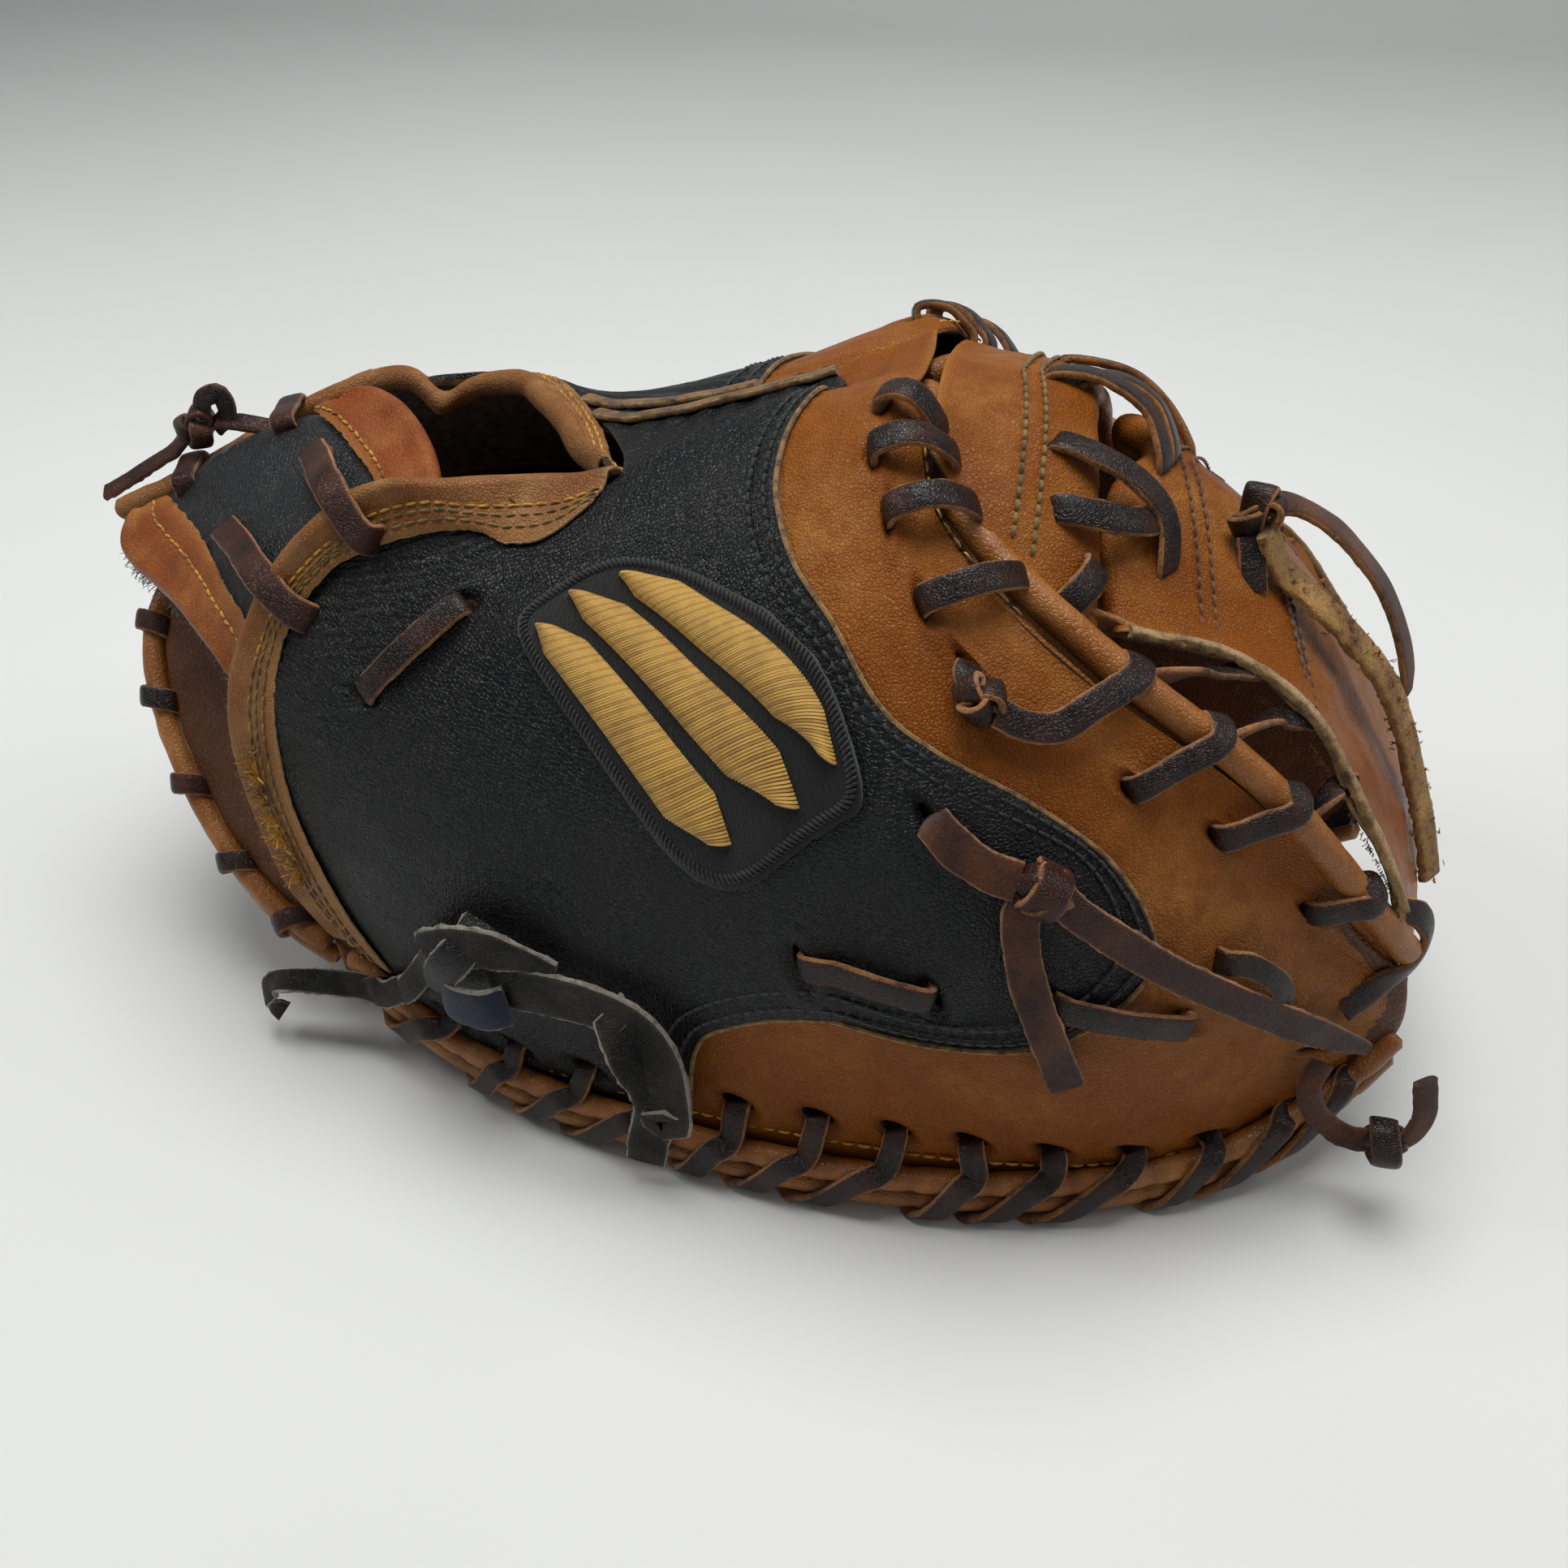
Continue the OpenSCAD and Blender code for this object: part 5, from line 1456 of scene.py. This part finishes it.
def build_back_laces():
    """The lace runs of both backs, and the banded knot with its two tails on the thumb side."""
    for side, node in ((THUMB, "thumb_loop_laces"), (FINGER, "pinky_loop_laces")):
        b = Build("lace", "lace_edge")
        for k, (a, z) in enumerate(BACK_RUNS[side.name]):
            a, z = np.array(a), np.array(z)
            laid(b, side, [(*lerp(a, z, x), height) for x, height in RUN_HEIGHTS], seed=130 + k, width=6.0)
        if side is THUMB:
            laid(b, side, [(0.80, 0.44, 0.8), (0.812, 0.42, 2.6), (0.83, 0.43, 3.4), (0.838, 0.475, 3.0),
                           (0.83, 0.515, 0.8)], seed=141, width=5.4)
        b.finish(side.name + "_loop_lace_runs", side.body, node)
    b = Build("lace_raw", "lace_edge", "lace_red")
    n = THUMB.normal(0.682, 0.456)
    centre = THUMB.skin(0.682, 0.456, 4.6)
    run = THUMB.skin(0.70, 0.455) - THUMB.skin(0.66, 0.463)
    laid(b, THUMB, [(0.620, 0.468, 0.8), (0.634, 0.475, 3.0), (0.652, 0.474, 3.8), (0.668, 0.462, 5.0)],
         dive_out=False, seed=150, width=8.0)
    knot(b, centre, n, run, r=4.6, width=6.4, seed=151, grain=2)
    side = np.cross(n, unit(run))
    band = [centre - side * 5.0 - n * 1.5, centre - side * 3.4 + n * 2.6, centre + n * 4.2,
            centre + side * 3.6 + n * 2.4, centre + side * 5.0 - n * 1.5]
    ribbon(b, band, [-side, n - side, n, n + side, side], width=7.6, seed=154, grain=2)
    laid(b, THUMB, [(0.674, 0.475, 4.6), (0.669, 0.515, 4.0), (0.672, 0.588, 2.8), (0.680, 0.655, 2.6),
                    (0.690, 0.748, 2.2)], False, False, seed=152, width=7.6, fray=0.25)
    laid(b, THUMB, [(0.69, 0.452, 5.0), (0.712, 0.465, 4.4), (0.762, 0.492, 3.4), (0.832, 0.522, 3.6),
                    (0.885, 0.562, 4.5), (0.915, 0.60, 5.5)], False, False, seed=153, width=7.2, fray=0.25,
         grain=2, taper=lambda t: 1 - 0.55 * np.clip(t - 0.7, 0, 1) / 0.3)
    b.finish("thumb_knot_and_tails", "thumb_knot", "thumb_knot_tails")


def build_tails():
    """The loose lace ends at the rim, the web and the strap, each with its knot."""
    b = Build("lace_raw", "lace_raw", "lace")
    start = [(131, -63.5, 38), (129, -66.5, 33), (131, -67, 27), (136, -67, 22), (141, -68, 21),
             (145, -68, 22)]
    ribbon(b, start, (0.2, -1, 0.3), width=5.4, seed=160, fray=0.25)
    knot(b, (147, -68, 21.5), (0.1, -0.8, 0.4), (1, 0, -0.2), r=3.4, width=5.4, seed=161, grain=2)
    band = [(146, -66, 26), (146, -70, 25.5), (147, -72.5, 21.5), (147.5, -70.5, 17.5), (147, -66.5, 16.5)]
    around = [(0, 0, 1), (0, -1, 1), (0, -1, 0), (0, -1, -1), (0, 0, -1)]
    ribbon(b, band, around, width=6.2, seed=163, grain=2)
    end = [(149, -68, 21), (152, -68, 25), (153, -68, 31), (152, -68, 37), (151, -68, 41)]
    ribbon(b, end, (0.5, -1, 0.0), width=5.6, seed=162, fray=0.25)
    b.finish("rim_tail_lace", "rim_tail_end", "rim_tail")

    b = Build("lace", "lace_raw", "golden", "lace_edge")
    centre = np.array([102.5, -9.5, 139.0])
    knot(b, centre, (0.4, -0.5, 0.8), (0.3, 0.3, 0.6), r=5.0, width=7.0, seed=170, grain=0, side_mat=3)
    knot_root = [centre + [-1, -3, -4], centre + [0, -6, -9], centre + [1, -8, -14]]
    ribbon(b, knot_root, (0.3, -1, 0.5), width=6, seed=171, step=0.7, side_mat=3)
    loop = [centre + [1, 1, 2], (110, -6, 140), (118, -8, 137), (125, -9, 131), (131, -9, 124),
            (136, -10, 115), (139, -11, 107), (140, -11, 101)]
    ribbon(b, loop, (0.6, -0.3, 0.8), width=6.0, seed=172, grain=1, side_mat=3, fray=0.2)
    tail = [centre + [2, -3, -2], (109, -12, 128), (116, -14, 123), (124, -16, 117), (133, -17, 108),
            (139, -18, 98), (144, -19, 86), (149, -20, 73), (153, -21, 60)]
    ribbon(b, tail, (0.7, -0.6, 0.6), width=6.4, seed=173, grain=2, side_mat=2, fray=0.5,
           thick=2.6)
    q = curve(tail, np.linspace(0.15, 1, 220))
    rng = np.random.default_rng(4)
    q = q + rng.normal(0, 1.3, q.shape)
    fibres(b, q, rng.normal(0, 1, q.shape), 1500, 1.6, seed=31, number=2, r=0.08)
    b.finish("web_knot_and_tails", "web_tail_ends", "web_tails")

    b = Build("lace_red", "lace_raw", "lace")
    c = np.array([-157.5, 15.5, 126.0])
    knot(b, c, (0, -0.8, 0.5), (1, 0, 0.6), r=4.6, width=5.6, seed=180)
    ribbon(b, [c + [2, 0, 3], c + [4, 0, 8], c + [8, 1, 9], c + [9, 1, 4], c + [5, 1, 0]],
           (0, -1, 0.4), width=5.0, seed=181, grain=2)
    ribbon(b, [c + [6, 1, 2], c + [12, 1, 2], c + [18, 2, 1], c + [23, 4, -1]],
           (0, -0.6, 1), width=5.0, seed=182)
    ribbon(b, [c + [-3, 0, -2], c + [-8, 0, -7], c + [-16, 0, -12], c + [-24, 0, -17], c + [-31, 0, -21]],
           (0, -0.6, 1), width=5.0, seed=183, fray=0.3)
    b.finish("strap_knot_and_tail", "strap_tail_end", "strap_tail")


def build_thong():
    """The flat thong that hangs over the lower edge near the heel, with its folded knot."""
    b = Build("worn_black", "grey", "navy", "black")
    p, n = raised(THUMB, [(0.045, 0.955, 6.0), (0.084, 0.922, 5.0), (0.115, 0.885, 3.4), (0.142, 0.85, 5.2),
                   (0.168, 0.81, 3.6), (0.19, 0.775, 5.0)])
    hook = [(-115, -67, 8), (-119, -67, 11), (-117, -67, 16), (-111, -68, 20)]
    twist = [(0, -1, 0.2), (-0.8, -0.5, 0.2), (0, -0.7, 0.8), (0.1, -0.3, 1)]
    lean = np.array([(0.2, -0.3, 1)] * 3 + [(0, -0.6, 0.8)] * 3)
    ribbon(b, np.vstack([hook, p]), np.vstack([twist, n + lean]), width=6.6, thick=1.7, seed=190, grain=0,
           fray=0.4)
    p, n = raised(THUMB, [(0.186, 0.785, 0.5), (0.202, 0.752, 5.6), (0.235, 0.738, 6.8), (0.266, 0.748, 5.2),
                   (0.298, 0.765, 3.4)])
    ribbon(b, p, n, width=11, thick=1.8, seed=191, fray=0.45,
           taper=lambda t: 1 - 0.75 * np.clip(t - 0.65, 0, 1) / 0.35)
    p, n = raised(THUMB, [(0.237, 0.725, 0.5), (0.23, 0.742, 7.2), (0.212, 0.768, 8.4), (0.196, 0.805, 6.4),
                   (0.192, 0.835, 3.0)])
    ribbon(b, p, n, width=9, thick=1.9, seed=192, grain=3, fray=0.35)
    p, n = raised(THUMB, [(0.195, 0.808, 5.0), (0.208, 0.812, 8.4), (0.235, 0.815, 8.4), (0.25, 0.815, 5.5)])
    ribbon(b, p, n, width=11.5, thick=2.2, seed=194, grain=2, fray=0.35)
    p, n = raised(THUMB, [(0.238, 0.795, 3.4), (0.27, 0.795, 4.4), (0.305, 0.80, 4.0), (0.340, 0.81, 4.4),
                   (0.362, 0.832, 5.4), (0.366, 0.875, 7.2), (0.356, 0.925, 9.2)])
    hang = [(-18, -92, 48), (-15, -95, 40), (-11, -95, 32), (-10, -95, 23), (-12, -94, 14), (-13, -94, 7)]
    turn = [(-0.3, -0.8, 0.6), (0.7, -0.8, 0.2), (0.5, -0.8, 0.0), (0, -1, 0), (0, -1, 0), (0, -1, 0)]
    ribbon(b, np.vstack([p, hang]), np.vstack([n, turn]), width=12.5, thick=1.8, seed=193, fray=0.45,
           taper=lambda t: 1 - 0.22 * np.clip(t - 0.45, 0, 0.1) / 0.1)
    b.finish("heel_thong_leather", "heel_thong_end", "heel_thong")


# ---- Everything, then the stage

for build_half in (build_back, build_rim, build_web_edge):
    for half in (THUMB, FINGER):
        build_half(half)
for build_part in (build_patch, build_bindings, build_saddle, build_strap, build_heel, build_pocket,
                   build_stall, build_web, build_back_laces, build_tails, build_thong):
    build_part()


# ---- Stage, in metres

FLOOR_FRONT, FLOOR_BACK, FLOOR_HALF_WIDTH = -2.5, 1.35, 3.5
BEND_R = 0.6
WALL_TOP = 1.6
# Each light: place, point it faces, diameter, watts
LIGHTS = {"soft_top": ((0.0, 0.12, 1.4), (0, 0.02, 0), 1.0, 18.3),
          "soft_left": ((-0.85, -0.16, 1.0), (0, 0, 0.08), 0.4, 3.0),
          "soft_right": ((1.2, 0.2, 0.9), (0, 0, 0.05), 0.8, 3.0)}
CAMERA_PLACE = (0.0681, -0.3255, 0.2814)
CAMERA_AIM = (0, -0.005, 0.052)
LENS = 36.1


def aimed(name, data, place, target):
    """A light or camera at a place, turned towards a target."""
    item = bpy.data.objects.new(name, data)
    item.location = place
    item.rotation_euler = (Vector(target) - item.location).to_track_quat("-Z", "Y").to_euler()
    bpy.context.scene.collection.objects.link(item)
    return item


def build_backdrop():
    """A pale floor that curves up behind the mitt."""
    arc = [(FLOOR_BACK + BEND_R * math.sin(a), BEND_R * (1 - math.cos(a)))
           for a in np.linspace(0, math.pi / 2, 24)]
    profile = [(FLOOR_FRONT, 0.0), (0.0, 0.0)] + arc + [(FLOOR_BACK + BEND_R, WALL_TOP)]
    points = [(x, y, z) for y, z in profile for x in (-FLOOR_HALF_WIDTH, FLOOR_HALF_WIDTH)]
    mesh = bpy.data.meshes.new("backdrop")
    mesh.from_pydata(points, [], grid_faces(len(profile), 2)[:, [0, 3, 2, 1]].tolist())
    mesh.polygons.foreach_set("use_smooth", np.ones(len(mesh.polygons), bool))
    mesh.materials.append(studio("pale_floor", "d5d6d4"))
    floor = bpy.data.objects.new("backdrop", mesh)
    bpy.context.scene.collection.objects.link(floor)


def build_stage():
    """Backdrop, soft lights and the camera."""
    scene = bpy.context.scene
    build_backdrop()
    for name, (place, target, size, power) in LIGHTS.items():
        data = bpy.data.lights.new(name, "AREA")
        data.shape, data.size, data.energy = "DISK", size, power
        aimed(name, data, place, target)
    scene.world = bpy.data.worlds.new("soft_room")
    scene.world.use_nodes = True
    colour, strength = scene.world.node_tree.nodes["Background"].inputs[:2]
    colour.default_value, strength.default_value = (0.96, 0.98, 1.0, 1), 0.2
    scene.view_settings.view_transform = "Standard"
    data = bpy.data.cameras.new("front_view")
    data.sensor_width, data.lens, data.clip_start = 36.0, LENS, 0.01
    scene.camera = aimed("front_view", data, CAMERA_PLACE, CAMERA_AIM)


build_stage()
